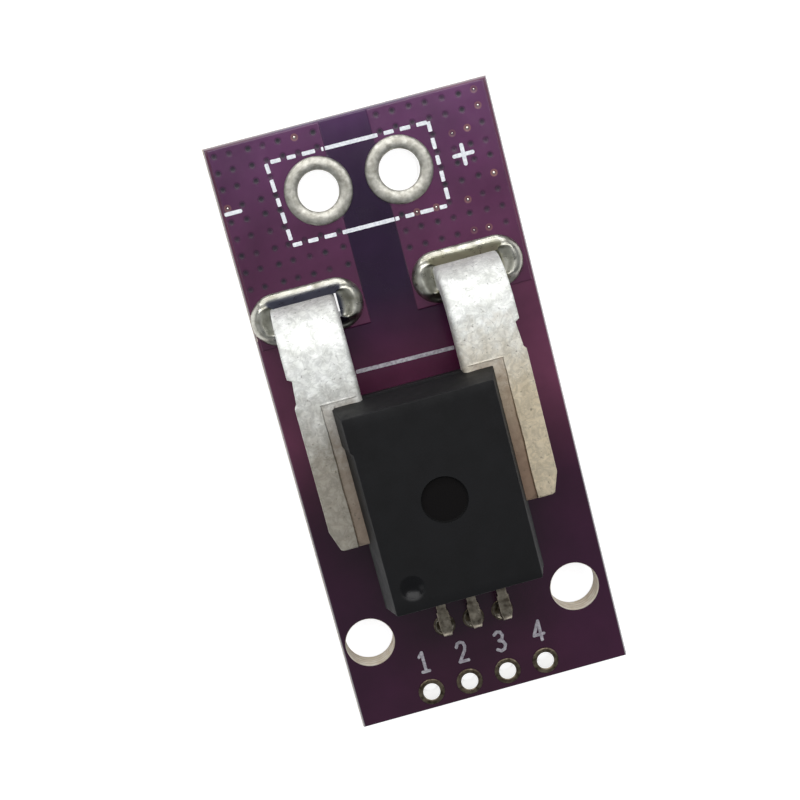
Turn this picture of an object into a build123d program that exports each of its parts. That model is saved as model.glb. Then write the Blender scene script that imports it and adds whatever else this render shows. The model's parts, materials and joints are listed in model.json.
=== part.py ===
from build123d import *
import os

# Hall effect current sensor module, in millimetres.
# A narrow circuit board carries a moulded sensor. The sensor's heavy copper conductor comes out of
# the moulding as two flat bars, bends down through two slots and is soldered to wide copper pours
# that lead to the two current terminals. Three thin leads bring the signal to a row of header holes.
#
# X runs across the board, Y along it towards the current terminals, Z up out of the component side.
# The origin is below the middle of the board, on the plane that the soldered tails stand on.

# Board
board_thickness = 1.60
score_run = 0.15
score_depth = 0.45
tail_length = 1.20

# Layers on the board
copper_thickness = 0.07
tin_thickness = 0.06
plating = 0.08
layout_shift = -0.20

# Current terminals: two tinned holes
terminal_pitch = 5.08
terminal_edge = 4.15
terminal_from_slots = 6.90
terminal_hole = 2.50
terminal_pad = 4.20
terminal_crown = 0.16

# Header row
header_count = 4
header_pitch = 2.54
header_edge = 1.27
header_from_leads = 4.08
header_hole = 1.10
header_pad = 1.70

# Mounting holes, one at each side
mounting_side = 2.09
mounting_from_header = 4.28
mounting_hole = 3.10

# Copper pours, one for each current terminal
pour_gap = 3.00
pour_side_margin = 0.30
pour_end_margin = 0.20

# Slots that the conductor's legs go through
slot_end_clearance = 0.50
slot_side_clearance = 0.25
slot_ring_ends = 1.05
slot_ring_sides = 0.65
slot_land_edge = 0.24

# Moulded case
case_width = 10.00
case_length = 13.00
case_height = 7.00
case_side_draft = 0.56
case_end_draft = 0.42
case_corner = 0.20
case_gap = 0.10
sensor_shift = -0.36
recess_diameter = 2.80
recess_depth = 0.20
dimple_diameter = 1.50
dimple_floor = 0.60
dimple_depth = 0.30
dimple_from_side = 1.85
dimple_from_end = 1.85
gate_scar = 0.17
gate_scar_length = 2.40

# Primary conductor
bar_width = 4.00
bar_thickness = 1.50
bars_overall = 14.20
bar_bend_radius = 1.50
bar_inner_bevel = 0.30
bar_outer_bevel = 0.12
leg_chamfer = 0.20
leg_reach = 5.47
wing_length = 8.63
wing_taper_run = 0.45
wing_taper_length = 1.30
coined_width = 0.58
coined_front = 0.30
coined_depth = 0.08
notch_depth = 0.27
notch_foot_depth = 0.14
notch_length = 1.85
notch_run = 0.15
notch_from_case = 0.40
bridge_width = 3.60

# Signal leads
lead_count = 3
lead_pitch = 1.91
lead_width = 0.60
lead_thickness = 0.38
lead_reach = 3.23
lead_bend_radius = 0.45
lead_splay = 0.50
lead_shoulder_width = 0.74
lead_shoulder_length = 0.95
lead_shoulder_from_case = 1.12
lead_shift = 0.16
lead_hole = 0.90
lead_pad = 1.40

# Sensing element and flux ring, moulded in
hall_width = 5.20
hall_length = 3.00
hall_thickness = 1.50
hall_clearance = 0.10
paddle_size = 1.60
die_width = 1.20
die_length = 1.00
die_thickness = 0.28
bond_wire = 0.10
bond_height = 0.22
lead_inner_length = 0.90
ring_clearance = 0.25
ring_wall = 1.30
ring_width = 3.00

# Solder
solder_crown = 0.80
solder_crown_back = 0.70
solder_slope = 22
pin_solder_crown = 0.42
pin_solder_top = 0.98

# Small components on the underside
chip_length = 1.60
chip_width = 0.80
capacitor_height = 0.80
resistor_height = 0.45
chip_end = 0.35
chip_end_wall = 0.03
chip_joint_reach = 0.30
chip_joint_height = 0.30
chip_row_from_case = 0.85
chip_row_pitch = 1.45

# Heights above the standing plane
board_bottom = tail_length
board_top = board_bottom + board_thickness
case_bottom = board_top + case_gap
case_middle = case_bottom + case_height / 2
bar_top = case_middle + bar_thickness / 2
land_height = copper_thickness + tin_thickness

# Slots and the board that is laid out round the sensor
slot_pitch = bars_overall - bar_width
slot_length = bar_width + 2 * slot_end_clearance
slot_width = bar_thickness + 2 * slot_side_clearance
slot_land_length = slot_length + 2 * slot_ring_ends
slot_land_width = slot_width + 2 * slot_ring_sides
lead_row_gap = leg_reach + case_length + lead_reach
board_width = slot_pitch + slot_land_length + 2 * slot_land_edge
board_length = terminal_edge + terminal_from_slots + lead_row_gap + header_from_leads + header_edge
mounting_spacing = board_width - 2 * mounting_side

# Places along and across the board
terminal_y = board_length / 2 - terminal_edge
slot_y = terminal_y - terminal_from_slots
lead_y = slot_y - lead_row_gap
header_y = lead_y - header_from_leads
mounting_y = header_y + mounting_from_header
bend_start_y = slot_y + bar_thickness / 2 - bar_bend_radius - bar_thickness
case_y = lead_y + lead_reach + case_length / 2
case_front_y = case_y + case_length / 2
case_back_y = case_y - case_length / 2
wing_end_y = case_front_y - wing_length
lead_center_x = sensor_shift + lead_shift
bar_center = (bars_overall - bar_width) / 2
bar_inner = bars_overall / 2 - bar_width
terminal_x = [layout_shift + side * terminal_pitch / 2 for side in (-1, 1)]
slot_x = [layout_shift + side * slot_pitch / 2 for side in (-1, 1)]
mounting_x = [layout_shift + side * mounting_spacing / 2 for side in (-1, 1)]
header_x = [
    layout_shift + (index - (header_count - 1) / 2) * header_pitch for index in range(header_count)
]
lead_x = [lead_center_x + (index - (lead_count - 1) / 2) * lead_pitch for index in range(lead_count)]


def round_spots(places, y, diameter):
    """Circles of one diameter at the given x places."""
    return Sketch() + [Pos(x, y) * Circle(diameter / 2) for x in places]


def slot_spots(length, width):
    """Obround outlines at the two conductor slots."""
    return Sketch() + [Pos(x, slot_y) * SlotOverall(length, width) for x in slot_x]


def drilled_outline(extra):
    """Everything drilled or milled through the board; extra widens the plated ones."""
    holes = round_spots(terminal_x, terminal_y, terminal_hole + 2 * extra)
    holes += round_spots(header_x, header_y, header_hole + 2 * extra)
    holes += round_spots(lead_x, lead_y, lead_hole + 2 * extra)
    holes += slot_spots(slot_length + 2 * extra, slot_width + 2 * extra)
    holes += round_spots(mounting_x, mounting_y, mounting_hole)
    return holes


def circuit_board():
    """Glass laminate with scored and snapped edges and its drilled holes."""
    inner = Rectangle(board_width - 2 * score_run, board_length - 2 * score_run)
    outer = Rectangle(board_width, board_length)
    levels = [
        (board_bottom, inner),
        (board_bottom + score_depth, outer),
        (board_top - score_depth, outer),
        (board_top, inner),
    ]
    slab = loft([Pos(0, 0, height) * shape for height, shape in levels], ruled=True)
    drill = extrude(Pos(0, 0, board_bottom) * drilled_outline(plating), board_thickness)
    return slab - drill


def pour_outline(side):
    """Copper pour of one side, with its terminal ring and slot land; side is -1 left or 1 right."""
    inner_x = layout_shift + side * pour_gap / 2
    outer_x = side * (board_width / 2 - pour_side_margin)
    low_y = slot_y - slot_land_width / 2
    high_y = board_length / 2 - pour_end_margin
    center = Pos((inner_x + outer_x) / 2, (low_y + high_y) / 2)
    pour = center * Rectangle(abs(outer_x - inner_x), high_y - low_y)
    pour += Pos(layout_shift + side * terminal_pitch / 2, terminal_y) * Circle(terminal_pad / 2)
    land_x = layout_shift + side * slot_pitch / 2
    return pour + Pos(land_x, slot_y) * SlotOverall(slot_land_length, slot_land_width)


def copper_pour(side):
    """Copper of one side: the sheets on both faces, joined by the plated wall of the slot."""
    sheet = extrude(pour_outline(side) - drilled_outline(plating), copper_thickness)
    sheets = [Pos(0, 0, board_top) * sheet, Pos(0, 0, board_bottom - copper_thickness) * sheet]
    outer = SlotOverall(slot_length + 2 * plating, slot_width + 2 * plating)
    inner = SlotOverall(slot_length, slot_width)
    wall = extrude(outer - inner, board_thickness + 2 * copper_thickness)
    land_x = layout_shift + side * slot_pitch / 2
    return Pos(land_x, slot_y, board_bottom - copper_thickness) * wall + sheets


def terminal_eyelet():
    """Large plated hole about Z: a crowned tin rim on top, a thinning one underneath."""
    inner = terminal_hole / 2
    outer = terminal_pad / 2
    crest = (inner + outer) / 2
    rise = land_height + terminal_crown
    section = Polyline(
        (inner, board_top + copper_thickness),
        (crest, board_top + rise),
        (outer, board_top + copper_thickness),
        (inner + plating, board_top + copper_thickness),
        (inner + plating, board_bottom - copper_thickness),
        (outer, board_bottom - copper_thickness),
        (inner, board_bottom - rise),
        close=True,
    )
    return revolve(Plane.XZ * make_face(section), Axis.Z)


def header_eyelet():
    """Plated header hole about Z, its tinned lands thinning out towards their edge."""
    inner = header_hole / 2
    outer = header_pad / 2
    section = Polyline(
        (inner, board_top + land_height),
        (outer, board_top),
        (inner + plating, board_top),
        (inner + plating, board_bottom),
        (outer, board_bottom),
        (inner, board_bottom - land_height),
        close=True,
    )
    return revolve(Plane.XZ * make_face(section), Axis.Z)


def lead_eyelet():
    """Plated lead hole about Z: a tinned land on top, and solder over its end underneath."""
    inner = lead_hole / 2
    section = Polyline(
        (inner, board_top + land_height),
        (lead_pad / 2, board_top),
        (inner + plating, board_top),
        (inner + plating, board_bottom),
        (inner, board_bottom),
        close=True,
    )
    return revolve(Plane.XZ * make_face(section), Axis.Z)


def bar_and_leg(side):
    """One flat bar, its quarter bend and its leg down through the board."""
    center_x = sensor_shift + side * bar_center
    outer_radius = bar_bend_radius + bar_thickness
    leg_y = slot_y + bar_thickness / 2
    top = Line((wing_end_y, bar_top), (bend_start_y, bar_top))
    outer = RadiusArc((bend_start_y, bar_top), (leg_y, bar_top - outer_radius), outer_radius)
    leg = Polyline((leg_y, bar_top - outer_radius), (leg_y, 0), (leg_y - bar_thickness, 0))
    back = Line((leg_y - bar_thickness, 0), (leg_y - bar_thickness, bar_top - outer_radius))
    inner = RadiusArc(
        (leg_y - bar_thickness, bar_top - outer_radius),
        (bend_start_y, bar_top - bar_thickness),
        -bar_bend_radius,
    )
    under = Polyline(
        (bend_start_y, bar_top - bar_thickness),
        (wing_end_y, bar_top - bar_thickness),
        (wing_end_y, bar_top),
    )
    profile = make_face(top + outer + leg + back + inner + under)
    strip = extrude(Plane.YZ.offset(center_x - bar_width / 2) * profile, bar_width)
    tip = strip.edges().filter_by(Axis.X).group_by(Axis.Z)[0]
    strip = chamfer(tip, leg_chamfer)
    inner_x = sensor_shift + side * bar_inner
    outer_x = sensor_shift + side * bars_overall / 2
    strip = chamfer(top_run(strip, inner_x), bar_inner_bevel)
    return chamfer(top_run(strip, outer_x), bar_outer_bevel)


def top_run(strip, x):
    """Edges along the top of a bar and round the outside of its bend, at one side face."""
    skin_middle = bar_bend_radius + bar_thickness / 2
    axis_z = bar_top - bar_thickness - bar_bend_radius
    found = []
    for edge in strip.edges():
        center = edge.center(CenterOf.MASS)
        on_side = abs(center.X - x) < 0.01 and edge.length > bar_thickness
        flat = center.Y < bend_start_y and center.Z > bar_top - bar_thickness / 2
        reach = (Vector(0, center.Y, center.Z) - Vector(0, bend_start_y, axis_z)).length
        bend = center.Y > bend_start_y and center.Z > axis_z and reach > skin_middle
        if on_side and (flat or bend):
            found.append(edge)
    return found


def wing_cuts(side):
    """Cuts in the outer edge, the end and the top of one bar."""
    outer_x = sensor_shift + side * bars_overall / 2
    case_x = sensor_shift + side * case_width / 2
    notch_y = case_front_y + notch_from_case
    notch = Polyline(
        (outer_x, notch_y),
        (outer_x - side * notch_foot_depth, notch_y + notch_run),
        (outer_x - side * notch_depth, notch_y + notch_length - notch_run),
        (outer_x, notch_y + notch_length),
        (outer_x + side, notch_y + notch_length),
        (outer_x + side, notch_y),
        close=True,
    )
    taper = Polyline(
        (outer_x, wing_end_y + wing_taper_length),
        (outer_x - side * wing_taper_run, wing_end_y),
        (outer_x + side, wing_end_y),
        (outer_x + side, wing_end_y + wing_taper_length),
        close=True,
    )
    outline = make_face(notch) + make_face(taper)
    edge_cuts = extrude(Pos(0, 0, bar_top - bar_thickness) * outline, bar_thickness)
    strip_width = coined_width + case_side_draft
    strip_x = case_x + side * (coined_width - strip_width / 2)
    strip_end_y = case_front_y + coined_front
    strip = Pos(strip_x, (strip_end_y + wing_end_y) / 2, bar_top - coined_depth / 2)
    edge_cuts += strip * Box(strip_width, strip_end_y - wing_end_y, coined_depth)
    front = Pos(sensor_shift + side * bar_center, case_front_y, bar_top - coined_depth / 2)
    return edge_cuts + front * Box(bar_width, 2 * coined_front, coined_depth)


def primary_conductor():
    """The one stamped and bent copper bar: two legs, two wings and the bridge that joins them."""
    bridge = Pos(sensor_shift, wing_end_y + bridge_width / 2, bar_top - bar_thickness / 2)
    copper = bar_and_leg(-1) + bar_and_leg(1) + bridge * Box(2 * bar_center, bridge_width, bar_thickness)
    return copper - [wing_cuts(-1), wing_cuts(1)]


def signal_lead(index):
    """One thin lead: flat inside the case, bent down, splayed out to its hole and down through it."""
    x = lead_x[index]
    top = case_middle + lead_thickness / 2
    outer_radius = lead_bend_radius + lead_thickness
    face_y = lead_y - lead_thickness / 2
    knee_y = face_y + lead_splay
    bend_y = knee_y + outer_radius
    inner_end = hall_center_y() - hall_length / 2 + lead_inner_length
    path = Line((inner_end, top), (bend_y, top))
    path += RadiusArc((bend_y, top), (knee_y, top - outer_radius), -outer_radius)
    path += Polyline(
        (knee_y, top - outer_radius),
        (face_y, board_top + land_height),
        (face_y, 0),
        (face_y + lead_thickness, 0),
        (face_y + lead_thickness, board_top + land_height),
        (knee_y + lead_thickness, top - outer_radius),
    )
    path += RadiusArc(
        (knee_y + lead_thickness, top - outer_radius),
        (bend_y, top - lead_thickness),
        lead_bend_radius,
    )
    path += Polyline((bend_y, top - lead_thickness), (inner_end, top - lead_thickness), (inner_end, top))
    lead = extrude(Plane.YZ.offset(x - lead_width / 2) * make_face(path), lead_width)
    shoulder_y = case_back_y - lead_shoulder_from_case - lead_shoulder_length / 2
    lead += Pos(x, shoulder_y, case_middle) * Box(lead_shoulder_width, lead_shoulder_length, lead_thickness)
    if index == lead_count // 2:
        lead += Pos(x, paddle_y(), case_middle) * Box(paddle_size, paddle_size, lead_thickness)
    return lead


def hall_center_y():
    """The sensing block sits just behind the conductor's bridge."""
    return wing_end_y - ring_clearance - hall_clearance - hall_length / 2


def paddle_y():
    """The paddle ends the middle lead, under the die."""
    return hall_center_y() - hall_length / 2 + lead_inner_length + paddle_size / 2


def hall_die():
    """Bare silicon sensing die on the middle lead's paddle."""
    height = case_middle + lead_thickness / 2 + die_thickness / 2
    return Pos(lead_center_x, paddle_y(), height) * Box(die_width, die_length, die_thickness)


def bond_wires():
    """Three fine wires from the top of the die to the leads."""
    lead_top = case_middle + lead_thickness / 2
    die_top = lead_top + die_thickness
    crest = die_top + bond_height
    lead_end_y = hall_center_y() - hall_length / 2 + lead_inner_length - lead_width / 2
    die_back_y = paddle_y() - die_length / 2 + bond_wire
    wires = []
    for index, x in enumerate(lead_x):
        side = index - (lead_count - 1) / 2
        start = Vector(lead_center_x + side * (die_width / 2 - bond_wire), die_back_y, die_top)
        end = Vector(x, lead_end_y, lead_top)
        path = Polyline(start, Vector(start.X, start.Y, crest), Vector(end.X, end.Y, crest), end)
        section = Plane(start, z_dir=(0, 0, 1)) * Rectangle(bond_wire, bond_wire)
        wires.append(sweep(section, path, transition=Transition.RIGHT))
    return wires


def hall_package(inside):
    """Small moulded block that holds the die and the lead ends."""
    block = Box(hall_width, hall_length, hall_thickness)
    return Pos(lead_center_x, hall_center_y(), case_middle) * block - inside


def flux_ring():
    """Soft iron ring round the bridge, open at the back where the sensing block sits."""
    inner_y = bridge_width + 2 * ring_clearance
    inner_z = bar_thickness + 2 * ring_clearance
    center_y = wing_end_y + bridge_width / 2
    outer = Rectangle(inner_y + 2 * ring_wall, inner_z + 2 * ring_wall)
    gap = Pos(-inner_y / 2 - ring_wall / 2, 0) * Rectangle(2 * ring_wall, hall_thickness)
    profile = outer - Rectangle(inner_y, inner_z) - gap
    frame = Plane.YZ.offset(lead_center_x - ring_width / 2)
    return extrude(frame * Pos(center_y, case_middle) * profile, ring_width)


def case_shell():
    """Outer form of the moulding: drafted up and down from the parting line at mid height."""
    wide = Rectangle(case_width, case_length)
    narrow = Rectangle(case_width - 2 * case_side_draft, case_length - 2 * case_end_draft)
    wide = chamfer(wide.vertices(), case_corner)
    narrow = chamfer(narrow.vertices(), case_corner)
    half = case_height / 2
    body = loft([Pos(0, 0, -half) * narrow, wide, Pos(0, 0, half) * narrow], ruled=True)
    return body + gate_pad()


def gate_pad():
    """Slight step left by the mould gate, high on the left wall above the bar."""
    half = case_height / 2
    foot = bar_thickness / 2
    draft_here = case_side_draft * (half - foot) / half
    top_x = -case_width / 2 + case_side_draft - gate_scar
    step = Polyline(
        (top_x, half),
        (top_x - draft_here, foot),
        (top_x - draft_here + 2 * gate_scar, foot),
        (top_x + 2 * gate_scar, half),
        close=True,
    )
    front = case_length / 2 - case_end_draft - case_corner
    pad = extrude(Plane.XZ * make_face(step), gate_scar_length)
    return Pos(0, front, 0) * pad


def sensor_case(inside):
    """The moulding, with its top recess and first-pin dimple, less all that is moulded in."""
    top = case_height / 2
    body = case_shell()
    body -= Pos(0, 0, top - recess_depth) * extrude(Circle(recess_diameter / 2), recess_depth)
    body -= Pos(dimple_from_side - case_width / 2, dimple_from_end - case_length / 2, top) * dimple()
    return Pos(sensor_shift, case_y, case_middle) * body - inside


def dimple():
    """Dished mark next to the first lead, as the form that is cut away."""
    below = (Align.CENTER, Align.CENTER, Align.MAX)
    return Cone(dimple_floor / 2, dimple_diameter / 2, dimple_depth, align=below)


def slot_joint(x, conductor):
    """Solder that fills one slot round the leg and crowns it on both faces."""
    low = board_bottom - copper_thickness
    fill = extrude(SlotOverall(slot_length, slot_width), board_thickness + 2 * copper_thickness)
    land = SlotOverall(slot_land_length, slot_land_width)
    upper = extrude(land, solder_crown, taper=solder_slope)
    lower = Rot(180, 0, 0) * extrude(land, solder_crown_back, taper=solder_slope)
    solder = Pos(x, slot_y, low) * fill
    solder += Pos(x, slot_y, board_top + copper_thickness) * upper
    solder += Pos(x, slot_y, low) * lower
    return solder - conductor


def pin_joint(x, lead):
    """Solder round one lead, filling its hole and coned on the underside."""
    reach = lead_pad / 2
    rise = land_height + pin_solder_crown
    section = Polyline(
        (0, board_bottom - rise),
        (pin_solder_top / 2, board_bottom - rise),
        (reach, board_bottom),
        (lead_hole / 2, board_bottom),
        (lead_hole / 2, board_top + land_height),
        (0, board_top + land_height),
        close=True,
    )
    return Pos(x, lead_y, 0) * revolve(Plane.XZ * make_face(section), Axis.Z) - lead


def chip_places():
    """Where the small components lie on the underside: name, centre and height."""
    row_y = case_back_y - chip_row_from_case
    between = (lead_x[0] + lead_x[1]) / 2
    beside = lead_x[-1] + lead_width
    return [
        ("bypass_capacitor", between, row_y, capacitor_height),
        ("filter_capacitor", beside, row_y, capacitor_height),
        ("filter_resistor", beside, row_y + chip_row_pitch, resistor_height),
    ]


def chip_ends(x, y):
    """The two end places of one small component: x and direction."""
    return [(x + side * (chip_length - chip_end) / 2, side) for side in (-1, 1)]


def chip_body(x, y, height):
    """Ceramic block of one small component."""
    inner_height = height - 2 * chip_end_wall
    block = Box(chip_length - 2 * chip_end_wall, chip_width - 2 * chip_end_wall, inner_height)
    return Pos(x, y, board_bottom - land_height - height / 2) * block


def chip_caps(x, y, height):
    """Metal caps on both ends of one small component."""
    cap = Box(chip_end, chip_width, height)
    level = board_bottom - land_height - height / 2
    block = chip_body(x, y, height)
    return [Pos(end_x, y, level) * cap - block for end_x, side in chip_ends(x, y)]


def chip_joints(x, y):
    """Land and solder wedge at both ends of one small component."""
    joints = []
    surface = board_bottom - land_height
    for end_x, side in chip_ends(x, y):
        inner_x = end_x - side * chip_end / 2
        cap_x = end_x + side * chip_end / 2
        outer_x = cap_x + side * chip_joint_reach
        wedge = Polyline(
            (inner_x, board_bottom),
            (outer_x, board_bottom),
            (outer_x, surface),
            (cap_x, surface - chip_joint_height),
            (cap_x, surface),
            (inner_x, surface),
            close=True,
        )
        solid = extrude(Plane.XZ * make_face(wedge), chip_width)
        joints.append(Pos(0, y + chip_width / 2, 0) * solid)
    return joints


def build_parts():
    """Every named piece of the module."""
    parts = {"circuit_board": circuit_board()}
    parts["copper_pour_left"] = copper_pour(-1)
    parts["copper_pour_right"] = copper_pour(1)
    for label, index in (("left", 0), ("right", 1)):
        parts[f"terminal_pad_{label}"] = Pos(terminal_x[index], terminal_y, 0) * terminal_eyelet()
    for index, x in enumerate(header_x):
        parts[f"header_pad_{index + 1}"] = Pos(x, header_y, 0) * header_eyelet()
    for index, x in enumerate(lead_x):
        parts[f"lead_pad_{index + 1}"] = Pos(x, lead_y, 0) * lead_eyelet()

    conductor = primary_conductor()
    leads = [signal_lead(index) for index in range(lead_count)]
    die = hall_die()
    wires = bond_wires()
    package = hall_package(leads + [die] + wires)
    ring = flux_ring()
    parts["primary_conductor"] = conductor
    parts["flux_ring"] = ring
    parts["hall_die"] = die
    parts["bond_wires"] = Compound(children=wires)
    parts["hall_package"] = package
    filled_package = hall_package([])
    parts["sensor_case"] = sensor_case([conductor, ring, filled_package] + leads)
    for index, lead in enumerate(leads):
        parts[f"signal_lead_{index + 1}"] = lead
        parts[f"lead_joint_{index + 1}"] = pin_joint(lead_x[index], lead)
    for label, index in (("left", 0), ("right", 1)):
        parts[f"slot_joint_{label}"] = slot_joint(slot_x[index], conductor)

    caps = []
    joints = []
    for name, x, y, height in chip_places():
        parts[name] = chip_body(x, y, height)
        caps += chip_caps(x, y, height)
        joints += chip_joints(x, y)
    parts["chip_end_caps"] = Compound(children=caps)
    parts["chip_joints"] = Compound(children=joints)
    return parts


os.makedirs("parts", exist_ok=True)
for name, shape in build_parts().items():
    export_step(shape, f"parts/{name}.step")
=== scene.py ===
"""Looks of a small current sensor module: a lacquered circuit board with a moulded sensor.

Everything is in the row's frame: +X across the board, +Y along it towards the current terminals,
+Z up out of the component side. Sizes in the classes are in millimetres, and meshes are in metres.
"""

import json
import logging
import math
from dataclasses import dataclass, field, replace
from enum import Enum

import bmesh
import bpy
import numpy as np
from mathutils import Euler, Matrix, Vector, noise
from mathutils.geometry import delaunay_2d_cdt

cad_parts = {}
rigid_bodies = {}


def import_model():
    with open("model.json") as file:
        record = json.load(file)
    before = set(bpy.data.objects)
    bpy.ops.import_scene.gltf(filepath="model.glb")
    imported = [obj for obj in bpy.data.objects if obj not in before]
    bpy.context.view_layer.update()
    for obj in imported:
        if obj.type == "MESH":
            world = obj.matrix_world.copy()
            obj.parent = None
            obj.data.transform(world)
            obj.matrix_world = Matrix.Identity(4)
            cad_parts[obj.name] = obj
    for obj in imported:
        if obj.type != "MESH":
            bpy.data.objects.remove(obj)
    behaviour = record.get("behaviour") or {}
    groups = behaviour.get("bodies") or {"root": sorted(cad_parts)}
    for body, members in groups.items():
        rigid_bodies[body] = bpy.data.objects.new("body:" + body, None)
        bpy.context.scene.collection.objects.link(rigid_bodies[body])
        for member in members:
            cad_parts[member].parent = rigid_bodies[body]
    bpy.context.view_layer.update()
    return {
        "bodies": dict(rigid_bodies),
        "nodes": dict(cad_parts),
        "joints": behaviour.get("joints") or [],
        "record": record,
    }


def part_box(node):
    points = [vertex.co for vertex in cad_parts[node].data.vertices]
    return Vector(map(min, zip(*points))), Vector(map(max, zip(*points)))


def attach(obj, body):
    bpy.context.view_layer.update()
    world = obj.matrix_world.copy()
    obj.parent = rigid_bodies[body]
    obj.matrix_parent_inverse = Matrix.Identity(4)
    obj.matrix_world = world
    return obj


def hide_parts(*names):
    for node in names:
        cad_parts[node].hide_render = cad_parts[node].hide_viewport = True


LOG = logging.getLogger("sensor_module")
MM = 0.001
# Points closer than this are one point.
WELD_MM = 0.0005
# Lengths under this count as nothing where a sheet is cut into triangles.
CUT_MM = 0.00001
# Edges that turn more than this stay sharp.
SHARP_DEG = 42.0
Point = tuple[float, float, float]
# A place seen from above, or a pair of values.
Flat = tuple[float, float]
# Places along the board in millimetres, in rising order, with their colours.
Stops = tuple[tuple[float, str], ...]
Tree = bpy.types.NodeTree
Socket = bpy.types.NodeSocket


class Side(Enum):
    """The two faces of the board."""

    TOP = 1
    BOTTOM = -1


class Hand(Enum):
    """The two sides of the module, seen from above with the terminals at the top."""

    LEFT = -1
    RIGHT = 1


def linear(hex_color: str) -> tuple[float, float, float, float]:
    """Turn an sRGB colour into linear light.

    Args:
        hex_color: six hex digits.

    Returns:
        Linear red, green and blue, and an alpha of one.
    """
    channels = [int(hex_color[i:i + 2], 16) / 255 for i in (0, 2, 4)]
    values = [c / 12.92 if c <= 0.04045 else ((c + 0.055) / 1.055) ** 2.4 for c in channels]
    return values[0], values[1], values[2], 1.0


def per_size(size_mm: float) -> float:
    """Noise scale whose features measure size_mm, for coordinates in metres."""
    return 1 / (size_mm * MM)


def smooth_step(value: float) -> float:
    """Ease from 0 to 1, level at both ends."""
    value = min(1.0, max(0.0, value))
    return value * value * (3 - 2 * value)


def wobble(x: float, y: float, z: float, size: float) -> float:
    """Smooth irregularity between about -1 and 1 with waves of one size, where z picks the pattern."""
    return noise.noise(Vector((x / size, y / size, z / size)))


def add(tree: Tree, kind: str, settings: dict | None = None, links: dict | None = None) -> bpy.types.Node:
    """Add one shader node.

    Args:
        tree: the node tree that takes it.
        kind: the node's class name, after ShaderNode.
        settings: values by input name or number, or by property name; "stops" fills a colour ramp.
        links: what feeds each input, by its name or number: a socket, or a node's first output.

    Returns:
        The new node.
    """
    node = tree.nodes.new(f"ShaderNode{kind}")
    for key, value in (settings or {}).items():
        if key == "stops":
            elements = node.color_ramp.elements
            while len(elements) < len(value):
                elements.new(0.5)
            for element, (position, color) in zip(elements, value):
                element.position = position
                element.color = color
        elif isinstance(key, int) or key in node.inputs:
            node.inputs[key].default_value = value
        else:
            setattr(node, key, value)
    for key, source in (links or {}).items():
        tree.links.new(source.outputs[0] if isinstance(source, bpy.types.Node) else source, node.inputs[key])
    return node


@dataclass(frozen=True)
class Finish:
    """A surface whose colour, gloss and relief vary in small irregular patches.

    Patches and grain have real sizes. A pixel of the render covers 0.06 mm, so grain that is finer on
    the real surface, such as tin crystals, glass filler or pigment, is drawn 0.05 to 0.2 mm wide to show.
    Blender's noise mostly lies between 0.3 and 0.7, so the ranges that read it start and end there.
    """

    name: str
    light: str
    dark: str
    patch_mm: float = 1.0
    roughness: Flat = (0.4, 0.5)
    metallic: float = 0.0
    grain_mm: float = 0.2
    grain_depth_mm: float = 0.004
    specular: float = 0.5

    def tint(self, tree: Tree, space: Socket) -> Socket:
        """Colour of the surface.

        Args:
            tree: the node tree.
            space: coordinates in metres.

        Returns:
            The socket that carries the colour.
        """
        patches = add(tree, "TexNoise", {"Scale": per_size(self.patch_mm), "Detail": 5.0},
                      {"Vector": space})
        ramp = add(tree, "ValToRGB",
                   {"stops": [(0.32, linear(self.dark)), (0.68, linear(self.light))]}, {0: patches})
        return ramp.outputs[0]

    def gloss(self, tree: Tree, space: Socket) -> Socket:
        """Roughness of the surface.

        Args:
            tree: the node tree.
            space: coordinates in metres.

        Returns:
            The socket that carries the roughness.
        """
        smudge_mm = 0.6 * self.patch_mm
        smudges = add(tree, "TexNoise", {"Scale": per_size(smudge_mm), "Detail": 3.0}, {"Vector": space})
        spread = add(tree, "MapRange",
                     {"From Min": 0.3, "From Max": 0.7, "To Min": self.roughness[0],
                      "To Max": self.roughness[1]}, {"Value": smudges})
        return spread.outputs[0]

    def relief(self, tree: Tree, space: Socket) -> Socket:
        """Fine relief of the surface.

        Args:
            tree: the node tree.
            space: coordinates in metres.

        Returns:
            The socket that carries the normal.
        """
        grain = add(tree, "TexNoise", {"Scale": per_size(self.grain_mm), "Detail": 4.0}, {"Vector": space})
        bump = add(tree, "Bump", {"Strength": 1.0, "Distance": self.grain_depth_mm * MM}, {"Height": grain})
        return bump.outputs[0]

    def material(self) -> bpy.types.Material:
        """Build the material, unless it's already there.

        Returns:
            The material.
        """
        found = bpy.data.materials.get(self.name)
        if found:
            return found
        made = bpy.data.materials.new(self.name)
        made.use_nodes = True
        tree = made.node_tree
        tree.nodes.clear()
        space = add(tree, "TexCoord").outputs["Object"]
        shader = add(tree, "BsdfPrincipled",
                     {"Metallic": self.metallic, "Specular IOR Level": self.specular},
                     {"Base Color": self.tint(tree, space), "Roughness": self.gloss(tree, space),
                      "Normal": self.relief(tree, space)})
        add(tree, "OutputMaterial", {}, {"Surface": shader})
        return made


def ramp_along(tree: Tree, place: Socket, stops: Stops) -> Socket:
    """Colour that changes with one coordinate.

    Args:
        tree: the node tree.
        place: the coordinate, in metres.
        stops: the colours and their places.

    Returns:
        The socket that carries the colour.
    """
    first, last = stops[0][0], stops[-1][0]
    part = add(tree, "MapRange", {"From Min": first * MM, "From Max": last * MM}, {0: place})
    ramp = add(tree, "ValToRGB",
               {"stops": [((at - first) / (last - first), linear(color)) for at, color in stops]},
               {0: part})
    return ramp.outputs[0]


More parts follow.
